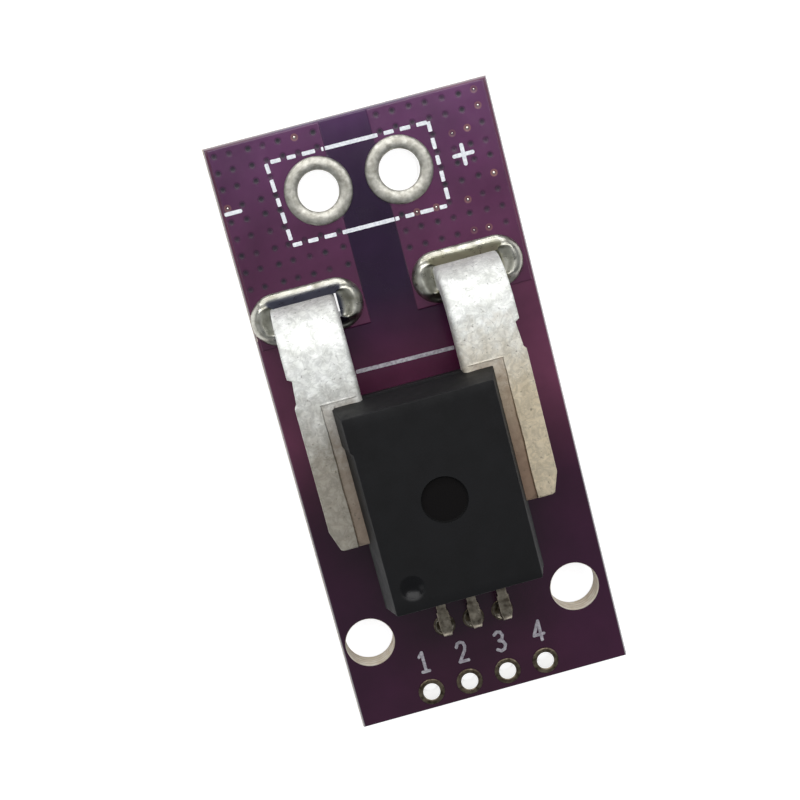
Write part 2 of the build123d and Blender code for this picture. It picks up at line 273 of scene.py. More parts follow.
def by_mark(tree: Tree, mark: str, plain: Socket, marked: str | float) -> Socket:
    """Change to a second colour or value where a point mark is set.

    Args:
        tree: the node tree.
        mark: the name of the point mark.
        plain: what shows where the mark is 0.
        marked: the colour or value where it is 1.

    Returns:
        The socket that carries the result.
    """
    share = add(tree, "Attribute", {"attribute_name": mark}).outputs["Fac"]
    if isinstance(marked, str):
        mixed = add(tree, "Mix", {"data_type": "RGBA", 7: linear(marked)}, {0: share, 6: plain})
        return mixed.outputs[2]
    mixed = add(tree, "Mix", {"data_type": "FLOAT", 3: marked}, {0: share, 2: plain})
    return mixed.outputs[0]


@dataclass(frozen=True)
class BoardLacquer(Finish):
    """Screen-printed epoxy lacquer: glossy, redder over copper, with painted shade in the via dimples and
    painted light along and across the board.
    """

    # Over the pours: lighter towards the top edge, a painted sheen.
    over_copper: Stops = ((6.0, "4E243E"), (13.0, "4F2645"), (19.0, "5A3157"))
    # Between the pours: bare laminate under the lacquer, with a painted sheen towards the top edge, painted
    # shade beside the bars and the case, and painted shade that darkens it towards the bottom.
    between: Stops = (
        (-19.0, "321026"), (-9.0, "2C0E23"), (3.0, "461832"), (5.5, "340F2C"), (8.0, "220C29"),
        (14.5, "200B2A"), (17.0, "32193A"), (19.0, "46254E"))
    # Outer strips: redder round the middle, and darker towards the bottom as painted shade.
    margin: Stops = (
        (-19.0, "34112A"), (-12.0, "300F28"), (-6.0, "300D26"), (-3.0, "441C32"), (0.0, "602E47"),
        (6.0, "562942"), (19.0, "562942"))
    margin_from_mm: Flat = (3.5, 6.5)
    half_width_mm: float = 9.0
    # Painted light: the lacquer is drawn lighter towards the board's right side.
    painted_light_left_to_right: Flat = (0.92, 1.18)
    clouds: Flat = (0.84, 1.16)
    # Painted shade of the hole under the film, laid into the via dimples.
    via: str = "10071A"
    rim: str = "A97A68"
    via_roughness: float = 0.36

    def tint(self, tree: Tree, space: Socket) -> Socket:
        """Colour from what lies under the lacquer, cloudy as the film's thickness varies, with a painted
        sheen near the top edge, painted shade lower down and a painted lighter right side.

        Args:
            tree: the node tree.
            space: coordinates in metres.

        Returns:
            The socket that carries the colour.
        """
        x, y, _ = add(tree, "SeparateXYZ", {}, {0: space}).outputs
        aside = add(tree, "Math", {"operation": "ABSOLUTE"}, {0: x})
        outer = add(tree, "MapRange",
                    {"From Min": self.margin_from_mm[0] * MM, "From Max": self.margin_from_mm[1] * MM},
                    {0: aside})
        bare = add(tree, "Mix", {"data_type": "RGBA"},
                   {0: outer, 6: ramp_along(tree, y, self.between), 7: ramp_along(tree, y, self.margin)})
        copper = add(tree, "Attribute", {"attribute_name": "copper"}).outputs["Fac"]
        shown = add(tree, "Mix", {"data_type": "RGBA"},
                    {0: copper, 6: bare.outputs[2], 7: ramp_along(tree, y, self.over_copper)})
        film = add(tree, "TexNoise", {"Scale": per_size(self.patch_mm), "Detail": 4.0}, {"Vector": space})
        shade = add(tree, "MapRange",
                    {"From Min": 0.3, "From Max": 0.7, "To Min": self.clouds[0], "To Max": self.clouds[1]},
                    {0: film})
        # Painted light across the board, lighter on the right.
        side = add(tree, "MapRange",
                   {"From Min": -self.half_width_mm * MM, "From Max": self.half_width_mm * MM,
                    "To Min": self.painted_light_left_to_right[0], "To Max": self.painted_light_left_to_right[1]}, {0: x})
        both = add(tree, "Math", {"operation": "MULTIPLY"}, {0: shade, 1: side})
        cloudy = add(tree, "VectorMath", {"operation": "SCALE"}, {0: shown.outputs[2], "Scale": both})
        # The via mark paints shade into the dimples; the rim is bare copper.
        return by_mark(tree, "rim", by_mark(tree, "via", cloudy.outputs[0], self.via), self.rim)

    def gloss(self, tree: Tree, space: Socket) -> Socket:
        """Roughness of the film, duller in the dimples."""
        return by_mark(tree, "via", super().gloss(tree, space), self.via_roughness)


@dataclass(frozen=True)
class GlassLaminate(Finish):
    """Woven glass in epoxy, snapped at the score: cream, with thin plies seen on the edge."""

    ply_mm: float = 0.18
    ply_shade: Flat = (0.82, 1.05)

    def tint(self, tree: Tree, space: Socket) -> Socket:
        """Cream colour crossed by the darker lines between the plies.

        Args:
            tree: the node tree.
            space: coordinates in metres.

        Returns:
            The socket that carries the colour.
        """
        plies = add(tree, "TexWave",
                    {"bands_direction": "Z", "Scale": per_size(self.ply_mm) / (2 * math.pi),
                     "Distortion": 1.5, "Detail": 2.0, "Detail Scale": 1.0}, {"Vector": space})
        lines = add(tree, "MapRange", {"To Min": self.ply_shade[0], "To Max": self.ply_shade[1]},
                    {0: plies.outputs["Fac"]})
        lined = add(tree, "VectorMath", {"operation": "SCALE"},
                    {0: super().tint(tree, space), "Scale": lines})
        return lined.outputs[0]


@dataclass(frozen=True)
class PlatedBar(Finish):
    """Stamped copper with matte tin: palest at the bend and darker along the wings, partly tarnish and partly
    painted shade; greyer on the left wing and warmer on the right, the coined strip browner.
    """

    wing_left: str = "B2ACA0"
    wing_right: str = "DED2BA"
    wing_from_y_mm: float = 4.2
    wing_to_y_mm: float = -0.8
    right_lead_mm: float = 1.4
    wear_mm: float = 0.7
    wear_spread_mm: float = 5.0
    wear_shade: Flat = (0.9, 1.07)
    vein_mm: float = 0.6
    vein_width: float = 0.1
    vein_shade: float = 0.83
    # Brown of the coined strip beside the case: heat tint, and painted shade of the case wall.
    burnt_and_shaded: str = "9A8472"
    burnt_and_shaded_from_y_mm: float = 2.5
    burnt_and_shaded_to_y_mm: float = -5.0
    burnt_and_shaded_least: float = 0.25
    burnt_and_shaded_on_left: float = 0.6
    speck: str = "6A6257"
    speck_mm: float = 0.2
    speck_share: float = 0.6

    def tint(self, tree: Tree, space: Socket) -> Socket:
        """Colour that goes from pale tin at the bend to darker, veined, speckled tin at the wing's end, the
        darkening partly painted shade.

        Args:
            tree: the node tree.
            space: coordinates in metres.

        Returns:
            The socket that carries the colour.
        """
        x, y, _ = add(tree, "SeparateXYZ", {}, {0: space}).outputs
        side = add(tree, "MapRange", {"From Min": -MM, "From Max": MM}, {0: x})
        wear = add(tree, "TexNoise",
                   {"Scale": per_size(self.wear_mm), "Detail": 6.0, "Roughness": 0.65}, {"Vector": space})
        lead = add(tree, "Math", {"operation": "MULTIPLY_ADD", 1: -self.right_lead_mm * MM},
                   {0: side, 2: y})
        spread = add(tree, "Math",
                     {"operation": "MULTIPLY_ADD", 1: self.wear_spread_mm * MM,
                      2: -self.wear_spread_mm / 2 * MM}, {0: wear})
        along = add(tree, "Math", {"operation": "ADD"}, {0: lead, 1: spread})
        # From the pale bend to the darker wing: tarnish, and painted shade where the wing lies further from
        # the light.
        wing = add(tree, "Mix",
                   {"data_type": "RGBA", 6: linear(self.wing_left), 7: linear(self.wing_right)}, {0: side})
        reach = add(tree, "MapRange",
                    {"From Min": self.wing_from_y_mm * MM, "From Max": self.wing_to_y_mm * MM}, {0: along})
        worn_and_shaded = add(tree, "Mix", {"data_type": "RGBA"},
                   {0: reach, 6: super().tint(tree, space), 7: wing.outputs[2]})
        veined = add(tree, "VectorMath", {"operation": "SCALE"},
                     {0: worn_and_shaded.outputs[2], "Scale": self.veins(tree, space, wear.outputs[0])})
        heated_and_shaded = add(tree, "Mix", {"data_type": "RGBA", 7: linear(self.burnt_and_shaded)},
                     {0: self.heat_and_shade(tree, along.outputs[0], side.outputs[0]), 6: veined})
        dust = add(tree, "TexNoise", {"Scale": per_size(self.speck_mm), "Detail": 2.0}, {"Vector": space})
        dots = add(tree, "MapRange",
                   {"From Min": 0.64, "From Max": 0.78, "To Max": self.speck_share}, {0: dust})
        specked = add(tree, "Mix", {"data_type": "RGBA", 7: linear(self.speck)},
                      {0: dots, 6: heated_and_shaded.outputs[2]})
        return specked.outputs[2]

    def veins(self, tree: Tree, space: Socket, wear: Socket) -> Socket:
        """Brightness of the tin's soft clouds and the darker veins through them.

        Args:
            tree: the node tree.
            space: coordinates in metres.
            wear: the noise that the clouds follow.

        Returns:
            The socket that carries the factor.
        """
        waves = add(tree, "TexNoise",
                    {"Scale": per_size(self.vein_mm), "Detail": 3.0, "Roughness": 0.6, "Distortion": 0.8},
                    {"Vector": space})
        level = add(tree, "Math", {"operation": "SUBTRACT", 1: 0.5}, {0: waves})
        level = add(tree, "Math", {"operation": "ABSOLUTE"}, {0: level})
        lines = add(tree, "MapRange", {"From Max": self.vein_width, "To Min": self.vein_shade}, {0: level})
        clouds = add(tree, "MapRange",
                     {"From Min": 0.36, "From Max": 0.64, "To Min": self.wear_shade[0],
                      "To Max": self.wear_shade[1]}, {0: wear})
        both = add(tree, "Math", {"operation": "MULTIPLY"}, {0: lines, 1: clouds})
        return both.outputs[0]

    def heat_and_shade(self, tree: Tree, along: Socket, side: Socket) -> Socket:
        """How brown the coined strip has gone, partly heat tint and partly painted shade of the case wall
        beside it.

        Args:
            tree: the node tree.
            along: the place along the bar.
            side: 0 on the left bar and 1 on the right.

        Returns:
            The socket that carries the share.
        """
        strip = add(tree, "Attribute", {"attribute_name": "coined"})
        reach = add(tree, "MapRange",
                    {"From Min": self.burnt_and_shaded_from_y_mm * MM, "From Max": self.burnt_and_shaded_to_y_mm * MM,
                     "To Min": self.burnt_and_shaded_least}, {0: along})
        share = add(tree, "MapRange", {"To Min": self.burnt_and_shaded_on_left}, {0: side})
        burn_and_shade = add(tree, "Math", {"operation": "MULTIPLY"}, {0: strip.outputs["Fac"], 1: reach})
        burn_and_shade = add(tree, "Math", {"operation": "MULTIPLY"}, {0: burn_and_shade, 1: share})
        return burn_and_shade.outputs[0]


@dataclass(frozen=True)
class MarkedCompound(Finish):
    """Moulding compound: matte on top, darker in the ejector recess and glossier in the dimple."""

    pin: str = "030101"
    pin_roughness: float = 0.95
    dimple_roughness: float = 0.24

    def tint(self, tree: Tree, space: Socket) -> Socket:
        """Colour of the compound, darker in the recess."""
        return by_mark(tree, "recess", super().tint(tree, space), self.pin)

    def gloss(self, tree: Tree, space: Socket) -> Socket:
        """Roughness of the compound, rougher in the recess and smoother in the dimple."""
        porous = by_mark(tree, "recess", super().gloss(tree, space), self.pin_roughness)
        return by_mark(tree, "dimple", porous, self.dimple_roughness)


@dataclass(frozen=True)
class TinnedHole(Finish):
    """Tin round a plated hole: dull on the rim, near white and smoother inside the bore."""

    bore: str = "FAFAF8"
    bore_roughness: float = 0.12

    def tint(self, tree: Tree, space: Socket) -> Socket:
        """Rim colour, brighter inside the bore."""
        return by_mark(tree, "bore", super().tint(tree, space), self.bore)

    def gloss(self, tree: Tree, space: Socket) -> Socket:
        """Roughness of the rim, smoother inside the bore."""
        return by_mark(tree, "bore", super().gloss(tree, space), self.bore_roughness)


@dataclass(frozen=True)
class StainedAndShadedSolder(Finish):
    """Reflowed solder with a dark film of flux and oxide in the corner along the copper leg, darkened further
    there by painted shade and a painted dark reflection.
    """

    # Flux film colour, darkened to paint shade and a dark reflection along the leg.
    stain: str = "86846E"

    def tint(self, tree: Tree, space: Socket) -> Socket:
        """Solder colour, darker towards the leg: flux film, painted shade and a painted dark reflection."""
        return by_mark(tree, "stain", super().tint(tree, space), self.stain)


# Solder mask ink, printed and cured: a wet-looking film that thins over edges.
LACQUER = BoardLacquer("screen_printed_epoxy_lacquer", "562C4C", "3A1F33", patch_mm=3.0,
                       roughness=(0.17, 0.24), grain_mm=0.7, grain_depth_mm=0.003)
# Glass epoxy sheet: its snapped edges and bored walls are matte cream.
LAMINATE = GlassLaminate("snapped_glass_epoxy_laminate", "F4ECDE", "DCCDB4", patch_mm=0.5,
                         roughness=(0.55, 0.75), grain_mm=0.12, grain_depth_mm=0.01)
# White epoxy ink: matte, a little porous where the screen left it thin.
INK = Finish("screen_printed_white_ink", "F2F4F6", "D2D5DC", patch_mm=0.16,
             roughness=(0.5, 0.65), grain_mm=0.08, grain_depth_mm=0.002)
# The same ink where the screen laid it thin, greyer with the lacquer through it, and darkened further as
# painted shade on the lower board and between the bars.
THIN_AND_SHADED_INK = Finish("thinly_printed_white_ink_with_painted_shade", "B9B6BC", "837C85", patch_mm=0.14,
                  roughness=(0.5, 0.65), grain_mm=0.08, grain_depth_mm=0.002)
# Etched copper foil: warm and satin, though lacquer, tin and solder hide nearly all of it.
FOIL = Finish("etched_copper_foil", "C67A50", "8E4B32", patch_mm=0.4, roughness=(0.25, 0.45),
              metallic=1.0, grain_mm=0.1)
# Hot-air levelled tin: satin, with a fine orange-peel texture.
TIN = TinnedHole("hot_air_levelled_tin", "CAC8BF", "9C998F", patch_mm=0.3, roughness=(0.42, 0.56),
                 metallic=1.0, grain_mm=0.1, grain_depth_mm=0.009)
# The thin tin of the small holes has gone dull and warm.
DULL_TIN = TinnedHole("tarnished_levelled_tin", "857A66", "43382E", patch_mm=0.3, roughness=(0.26, 0.46),
                      metallic=1.0, grain_mm=0.16, grain_depth_mm=0.016)
# Solder of the leads: old, dull and brownish, with a few clean glints.
DULL_SOLDER = Finish("dull_flux_stained_solder", "9A9486", "665E50", patch_mm=0.4, roughness=(0.24, 0.42),
                     metallic=1.0, grain_mm=0.2, grain_depth_mm=0.007)
# Reflowed solder: bright, softly lumpy, with a grainy frost in places.
SOLDER = StainedAndShadedSolder("reflowed_tin_solder", "C4C3B9", "8B897D", patch_mm=0.6, roughness=(0.24, 0.42),
                       metallic=1.0, grain_mm=0.24, grain_depth_mm=0.009)
# The left joint's band along the leg is bluer and darker: flux film, with painted shade and a painted dark
# reflection.
BLUE_SOLDER = replace(SOLDER, name="reflowed_tin_solder_blue_stain_and_shade", stain="4A4C58")
# Solder over a plugged via: small, clean and bright.
PLUG = Finish("bright_solder_plug", "E8E4DC", "C9BFB2", patch_mm=0.2, roughness=(0.12, 0.2),
              metallic=1.0, grain_mm=0.1, grain_depth_mm=0.002)
# Matte tin plate over stamped copper: pale and soft, without a mirror in it.
BAR = PlatedBar("tin_plated_stamped_copper", "F8F9F6", "E3E4DF", patch_mm=0.8, roughness=(0.6, 0.74),
                metallic=1.0, grain_mm=0.1, grain_depth_mm=0.006)
# Tin plate on the thin leads, warmer and more worn.
LEAD = Finish("tin_plated_lead_frame", "A89F8E", "5F574B", patch_mm=0.4, roughness=(0.26, 0.42),
              metallic=1.0, grain_mm=0.1, grain_depth_mm=0.006)
# Black epoxy compound filled with fine glass: deep black, with a dry and faintly grainy sheen.
COMPOUND = MarkedCompound("moulded_black_epoxy_compound", "0D0D0F", "080809", patch_mm=1.6,
                          roughness=(0.58, 0.7), grain_mm=0.09, grain_depth_mm=0.006, specular=0.26)
# Fired ceramic of the small capacitors: tan and dry.
CERAMIC = Finish("fired_capacitor_ceramic", "A88763", "8C6C4C", patch_mm=0.3, roughness=(0.5, 0.6),
                 grain_mm=0.06, grain_depth_mm=0.003)
# Black glass glaze of the small resistor: dark and shiny.
GLAZE = Finish("black_resistor_glaze", "1A1A1C", "101012", patch_mm=0.4, roughness=(0.2, 0.3),
               grain_mm=0.1, grain_depth_mm=0.002)
# Polished silicon, sealed in the sensing block: a cold, dark mirror.
SILICON = Finish("polished_silicon", "5A5E6C", "3C4150", patch_mm=0.5, roughness=(0.12, 0.2), metallic=0.4,
                 grain_mm=0.1, grain_depth_mm=0.001)
# Drawn gold bond wire: thin and bright yellow.
GOLD = Finish("drawn_gold_wire", "E4B64C", "B98A2C", patch_mm=0.1, roughness=(0.2, 0.3), metallic=1.0,
              grain_mm=0.05, grain_depth_mm=0.001)
# Annealed nickel iron of the flux ring: plain grey, dulled by the furnace.
IRON = Finish("annealed_nickel_iron", "6E6E70", "48484A", patch_mm=0.6, roughness=(0.4, 0.55), metallic=1.0,
              grain_mm=0.1, grain_depth_mm=0.004)


@dataclass
class Shape:
    """Points in millimetres, faces and point marks of one piece while it's being made."""

    points: list[Point] = field(default_factory=list)
    faces: list[tuple[int, ...]] = field(default_factory=list)
    marks: dict[str, list[float]] = field(default_factory=dict)

    def ring(self, points: list[Point]) -> list[int]:
        """Add a row of points.

        Args:
            points: the points in order.

        Returns:
            Their numbers.
        """
        start = len(self.points)
        self.points.extend(points)
        return list(range(start, len(self.points)))

    def bridge(self, first: list[int], second: list[int], closed: bool = True) -> None:
        """Join two rows of as many points with quads.

        Args:
            first: the numbers of one row's points.
            second: the numbers of the other row's points.
            closed: joins the end of the rows to their start.
        """
        count = len(first)
        for i in range(count if closed else count - 1):
            j = (i + 1) % count
            self.faces.append((first[i], first[j], second[j], second[i]))

    def loft(self, rings: list[list[Point]], wrap: bool = False) -> None:
        """Skin closed rings in order.

        Args:
            rings: rows of as many points each.
            wrap: joins the last ring to the first, where otherwise a face closes each end.
        """
        rows = [self.ring(points) for points in rings]
        for first, second in zip(rows, rows[1:]):
            self.bridge(first, second)
        if wrap:
            self.bridge(rows[-1], rows[0])
        else:
            self.faces.append(tuple(reversed(rows[0])))
            self.faces.append(tuple(rows[-1]))

    def build(self, name: str, finish: Finish, slot: str, replaces: tuple[str, ...] = ()) -> None:
        """Make the mesh object, dress it and hang it on the module.

        Args:
            name: the piece's name.
            finish: the surface it gets.
            slot: the record's material slot; not used.
            replaces: CAD nodes that it stands for.
        """
        mesh = bpy.data.meshes.new(name)
        mesh.from_pydata([tuple(c * MM for c in p) for p in self.points], [], self.faces)
        for mark, values in self.marks.items():
            attribute = mesh.attributes.new(mark, "FLOAT", "POINT")
            attribute.data.foreach_set("value", values)
        mesh.validate()
        mesh.shade_smooth()
        mesh.materials.append(finish.material())
        made = bpy.data.objects.new(name, mesh)
        bpy.context.scene.collection.objects.link(made)
        outward(made)
        weigh_normals(made)
        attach(made, "root")
        if replaces:
            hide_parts(*replaces)
        LOG.info("%s: %d points, %d faces", name, len(made.data.vertices), len(made.data.polygons))


def outward(piece: bpy.types.Object) -> None:
    """Weld the seams of a piece and turn its faces outwards.

    Args:
        piece: the mesh object.
    """
    work = bmesh.new()
    work.from_mesh(piece.data)
    bmesh.ops.remove_doubles(work, verts=work.verts, dist=WELD_MM * MM)
    bmesh.ops.recalc_face_normals(work, faces=work.faces)
    work.to_mesh(piece.data)
    work.free()


def weigh_normals(piece: bpy.types.Object) -> None:
    """Shade large flat faces flat, let the small faces at the edges take the turn, and keep sharp steps.

    Args:
        piece: the mesh object.
    """
    piece.data.set_sharp_from_angle(angle=math.radians(SHARP_DEG))
    modifier = piece.modifiers.new("weigh", "WEIGHTED_NORMAL")
    modifier.mode = "FACE_AREA"
    modifier.keep_sharp = True
    graph = bpy.context.evaluated_depsgraph_get()
    settled = bpy.data.meshes.new_from_object(piece.evaluated_get(graph))
    piece.modifiers.clear()
    old = piece.data
    name = old.name
    piece.data = settled
    bpy.data.meshes.remove(old)
    settled.name = name


def circle(center: Flat, radius: float, count: int) -> list[Flat]:
    """Points round a circle."""
    turns = [2 * math.pi * i / count for i in range(count)]
    return [(center[0] + radius * math.cos(t), center[1] + radius * math.sin(t)) for t in turns]


def obround(center: Flat, length: float, width: float, count: int) -> list[Flat]:
    """Points evenly spaced round an obround whose length lies along X.

    Args:
        center: its middle.
        length: overall length.
        width: overall width.
        count: number of points.

    Returns:
        The points, anticlockwise from the right-hand end.
    """
    radius = width / 2
    straight = length - width
    arc = math.pi * radius
    total = 2 * (straight + arc)
    found = []
    for i in range(count):
        run = total * i / count
        if run < arc / 2:
            turn = run / radius
            place = (straight / 2 + radius * math.cos(turn), radius * math.sin(turn))
        elif run < arc / 2 + straight:
            place = (straight / 2 - (run - arc / 2), radius)
        elif run < 1.5 * arc + straight:
            turn = math.pi / 2 + (run - arc / 2 - straight) / radius
            place = (-straight / 2 + radius * math.cos(turn), radius * math.sin(turn))
        elif run < 1.5 * arc + 2 * straight:
            place = (-straight / 2 + (run - 1.5 * arc - straight), -radius)
        else:
            turn = -math.pi / 2 + (run - 1.5 * arc - 2 * straight) / radius
            place = (straight / 2 + radius * math.cos(turn), radius * math.sin(turn))
        found.append((center[0] + place[0], center[1] + place[1]))
    return found


def soft_rectangle(size: Flat, corner: float, per_corner: int, per_side: tuple[int, int]) -> list[Flat]:
    """Rectangle with rounded corners and points spread along its sides, about the origin.

    Args:
        size: width and height.
        corner: corner radius.
        per_corner: steps in each corner.
        per_side: steps along the sides that run in X and in Y.

    Returns:
        The points, anticlockwise from the right-hand side's lower end.
    """
    half_x = size[0] / 2
    half_y = size[1] / 2
    found: list[Flat] = []
    centers = [(half_x - corner, half_y - corner, 0), (corner - half_x, half_y - corner, 1),
               (corner - half_x, corner - half_y, 2), (half_x - corner, corner - half_y, 3)]
    for x, y, quarter in centers:
        for step in range(per_corner + 1):
            turn = (quarter + step / per_corner) * math.pi / 2
            found.append((x + corner * math.cos(turn), y + corner * math.sin(turn)))
        steps = per_side[quarter % 2]
        end_turn = (quarter + 1) * math.pi / 2
        here = (x + corner * math.cos(end_turn), y + corner * math.sin(end_turn))
        following = centers[(quarter + 1) % 4]
        there = (following[0] + corner * math.cos(end_turn), following[1] + corner * math.sin(end_turn))
        for step in range(1, steps):
            part = step / steps
            found.append((here[0] + part * (there[0] - here[0]), here[1] + part * (there[1] - here[1])))
    return found


def millimetres(node: str) -> tuple[Vector, Vector]:
    """Box of a CAD node in millimetres."""
    low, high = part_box(node)
    return low / MM, high / MM


def middle(node: str) -> Vector:
    """Centre of a CAD node's box in millimetres."""
    low, high = millimetres(node)
    return (low + high) / 2


def board_levels() -> Flat:
    """Heights of the board's underside and top, in millimetres."""
    low, high = millimetres("circuit_board")
    return low.z, high.z


def edge_walk(corners: list[Flat], pitch: float, closed: bool = True) -> list[Flat]:
    """Points along straight runs between corners.

    Args:
        corners: the corners in order.
        pitch: about the spacing of the points.
        closed: goes back to the first corner, without repeating it.

    Returns:
        The corners and the points between them.
    """
    found: list[Flat] = []
    following = corners[1:] + (corners[:1] if closed else [])
    for start, end in zip(corners, following):
        steps = max(1, round(math.dist(start, end) / pitch))
        for step in range(steps):
            part = step / steps
            found.append((start[0] + part * (end[0] - start[0]), start[1] + part * (end[1] - start[1])))
    if not closed:
        found.append(corners[-1])
    return found


def corners_of(low: Flat, high: Flat) -> list[Flat]:
    """Corners of an upright rectangle, anticlockwise from its lower left."""
    return [low, (high[0], low[1]), high, (low[0], high[1])]


@dataclass
class Opening:
    """A round or obround opening in a flat sheet, with its number of points."""

    center: Flat
    length: float
    width: float
    count: int

    def outline(self, grow: float = 0.0) -> list[Flat]:
        """Points round the opening.

        Args:
            grow: how far outside its edge they lie.

        Returns:
            The points in order.
        """
        if abs(self.length - self.width) < CUT_MM:
            return circle(self.center, self.width / 2 + grow, self.count)
        return obround(self.center, self.length + 2 * grow, self.width + 2 * grow, self.count)

    def distance(self, x: float, y: float) -> float:
        """Distance of a point from the opening's edge.

        Args:
            x: place across the board.
            y: place along it.

        Returns:
            The distance, negative inside the opening.
        """
        straight = max(0.0, (self.length - self.width) / 2)
        away_x = max(0.0, abs(x - self.center[0]) - straight)
        return math.hypot(away_x, y - self.center[1]) - self.width / 2


@dataclass
class Sheet:
    """A flat sheet cut into triangles, with rings of points where its surface turns.

    Args:
        outline: the corner points of its edge, in order.
        openings: what is cut out of it.
        extra: single points that its relief needs.
        creases: rows of points that its triangles' edges follow.
        stagger: how far every second row of the filling is set off, in columns.
    """

    outline: list[Flat]
    openings: list[Opening] = field(default_factory=list)
    extra: list[Flat] = field(default_factory=list)
    creases: list[list[Flat]] = field(default_factory=list)
    stagger: float = 0.25

    def add_crease(self, corners: list[Flat], pitch: float) -> None:
        """Add a closed crease with straight sides between corners."""
        walk = edge_walk(corners, pitch)
        self.creases.append(walk + walk[:1])

    def inside(self, x: float, y: float) -> bool:
        """Tell whether a point is within the outline and clear of every opening.

        Args:
            x: place across the sheet.
            y: place along it.

        Returns:
            True on the sheet itself.
        """
        if any(opening.distance(x, y) < 0 for opening in self.openings):
            return False
        within = False
        previous = self.outline[-1]
        for corner in self.outline:
            if (corner[1] > y) != (previous[1] > y):
                cross = (previous[0] - corner[0]) * (y - corner[1]) / (previous[1] - corner[1]) + corner[0]
                if x < cross:
                    within = not within
            previous = corner
        return within

    def follow_creases(self, points: list[Flat], edges: list[tuple[int, int]], clear: float) -> None:
        """Add the creases, broken off where an opening is near.

        Args:
            points: takes their points.
            edges: takes their edges.
            clear: least distance from an opening.
        """
        for crease in self.creases:
            last = None
            for place in crease:
                if self.inside(*place) and all(o.distance(*place) > clear for o in self.openings):
                    points.append(place)
                    if last is not None:
                        edges.append((last, len(points) - 1))
                    last = len(points) - 1
                else:
                    last = None

    def filling(self, points: list[Flat], pitch: float, clear: float) -> list[Flat]:
        """Points that fill the sheet in staggered rows.

        Args:
            points: the points that it has already.
            pitch: spacing of the new points.
            clear: least distance of a new point from the others.

        Returns:
            The new points.
        """
        taken = np.array(points)
        low = np.min(np.array(self.outline), axis=0)
        high = np.max(np.array(self.outline), axis=0)
        columns = int((high[0] - low[0]) / pitch)
        rows = int((high[1] - low[1]) / pitch)
        found: list[Flat] = []
        for row in range(1, rows):
            y = low[1] + row * (high[1] - low[1]) / rows
            for column in range(1, columns):
                x = low[0] + (column + self.stagger * (row % 2)) * (high[0] - low[0]) / columns
                if self.inside(x, y) and np.min(np.hypot(taken[:, 0] - x, taken[:, 1] - y)) > clear:
                    found.append((x, y))
        return found

    def triangulate(
        self, pitch: float, clear: float
    ) -> tuple[list[Flat], list[tuple[int, ...]], list[list[int]]]:
        """Cut the sheet into triangles.

        Args:
            pitch: spacing of the points that fill it.
            clear: least distance from those points to any other.

        Returns:
            Its points, its triangles and the points of each edge loop, the outline first.
        """
        points: list[Flat] = []
        edges: list[tuple[int, int]] = []
        loops: list[list[int]] = []
        for loop in [self.outline] + [opening.outline() for opening in self.openings]:
            start = len(points)
            points.extend(loop)
            numbers = list(range(start, len(points)))
            edges.extend(zip(numbers, numbers[1:] + numbers[:1]))
            loops.append(numbers)
        self.follow_creases(points, edges, clear / 3)
        points.extend(place for place in self.extra if self.inside(*place))
        points.extend(self.filling(points, pitch, clear))
        cut = delaunay_2d_cdt([Vector(p) for p in points], edges, [], 0, CUT_MM)
        made = [(v.x, v.y) for v in cut[0]]
        number_of = {}
        for new, olds in enumerate(cut[3]):
            for old in olds:
                number_of[old] = new
        faces = []
        for face in cut[2]:
            x = sum(made[i][0] for i in face) / len(face)
            y = sum(made[i][1] for i in face) / len(face)
            if self.inside(x, y):
                faces.append(tuple(face))
        return made, faces, [[number_of[i] for i in loop] for loop in loops]


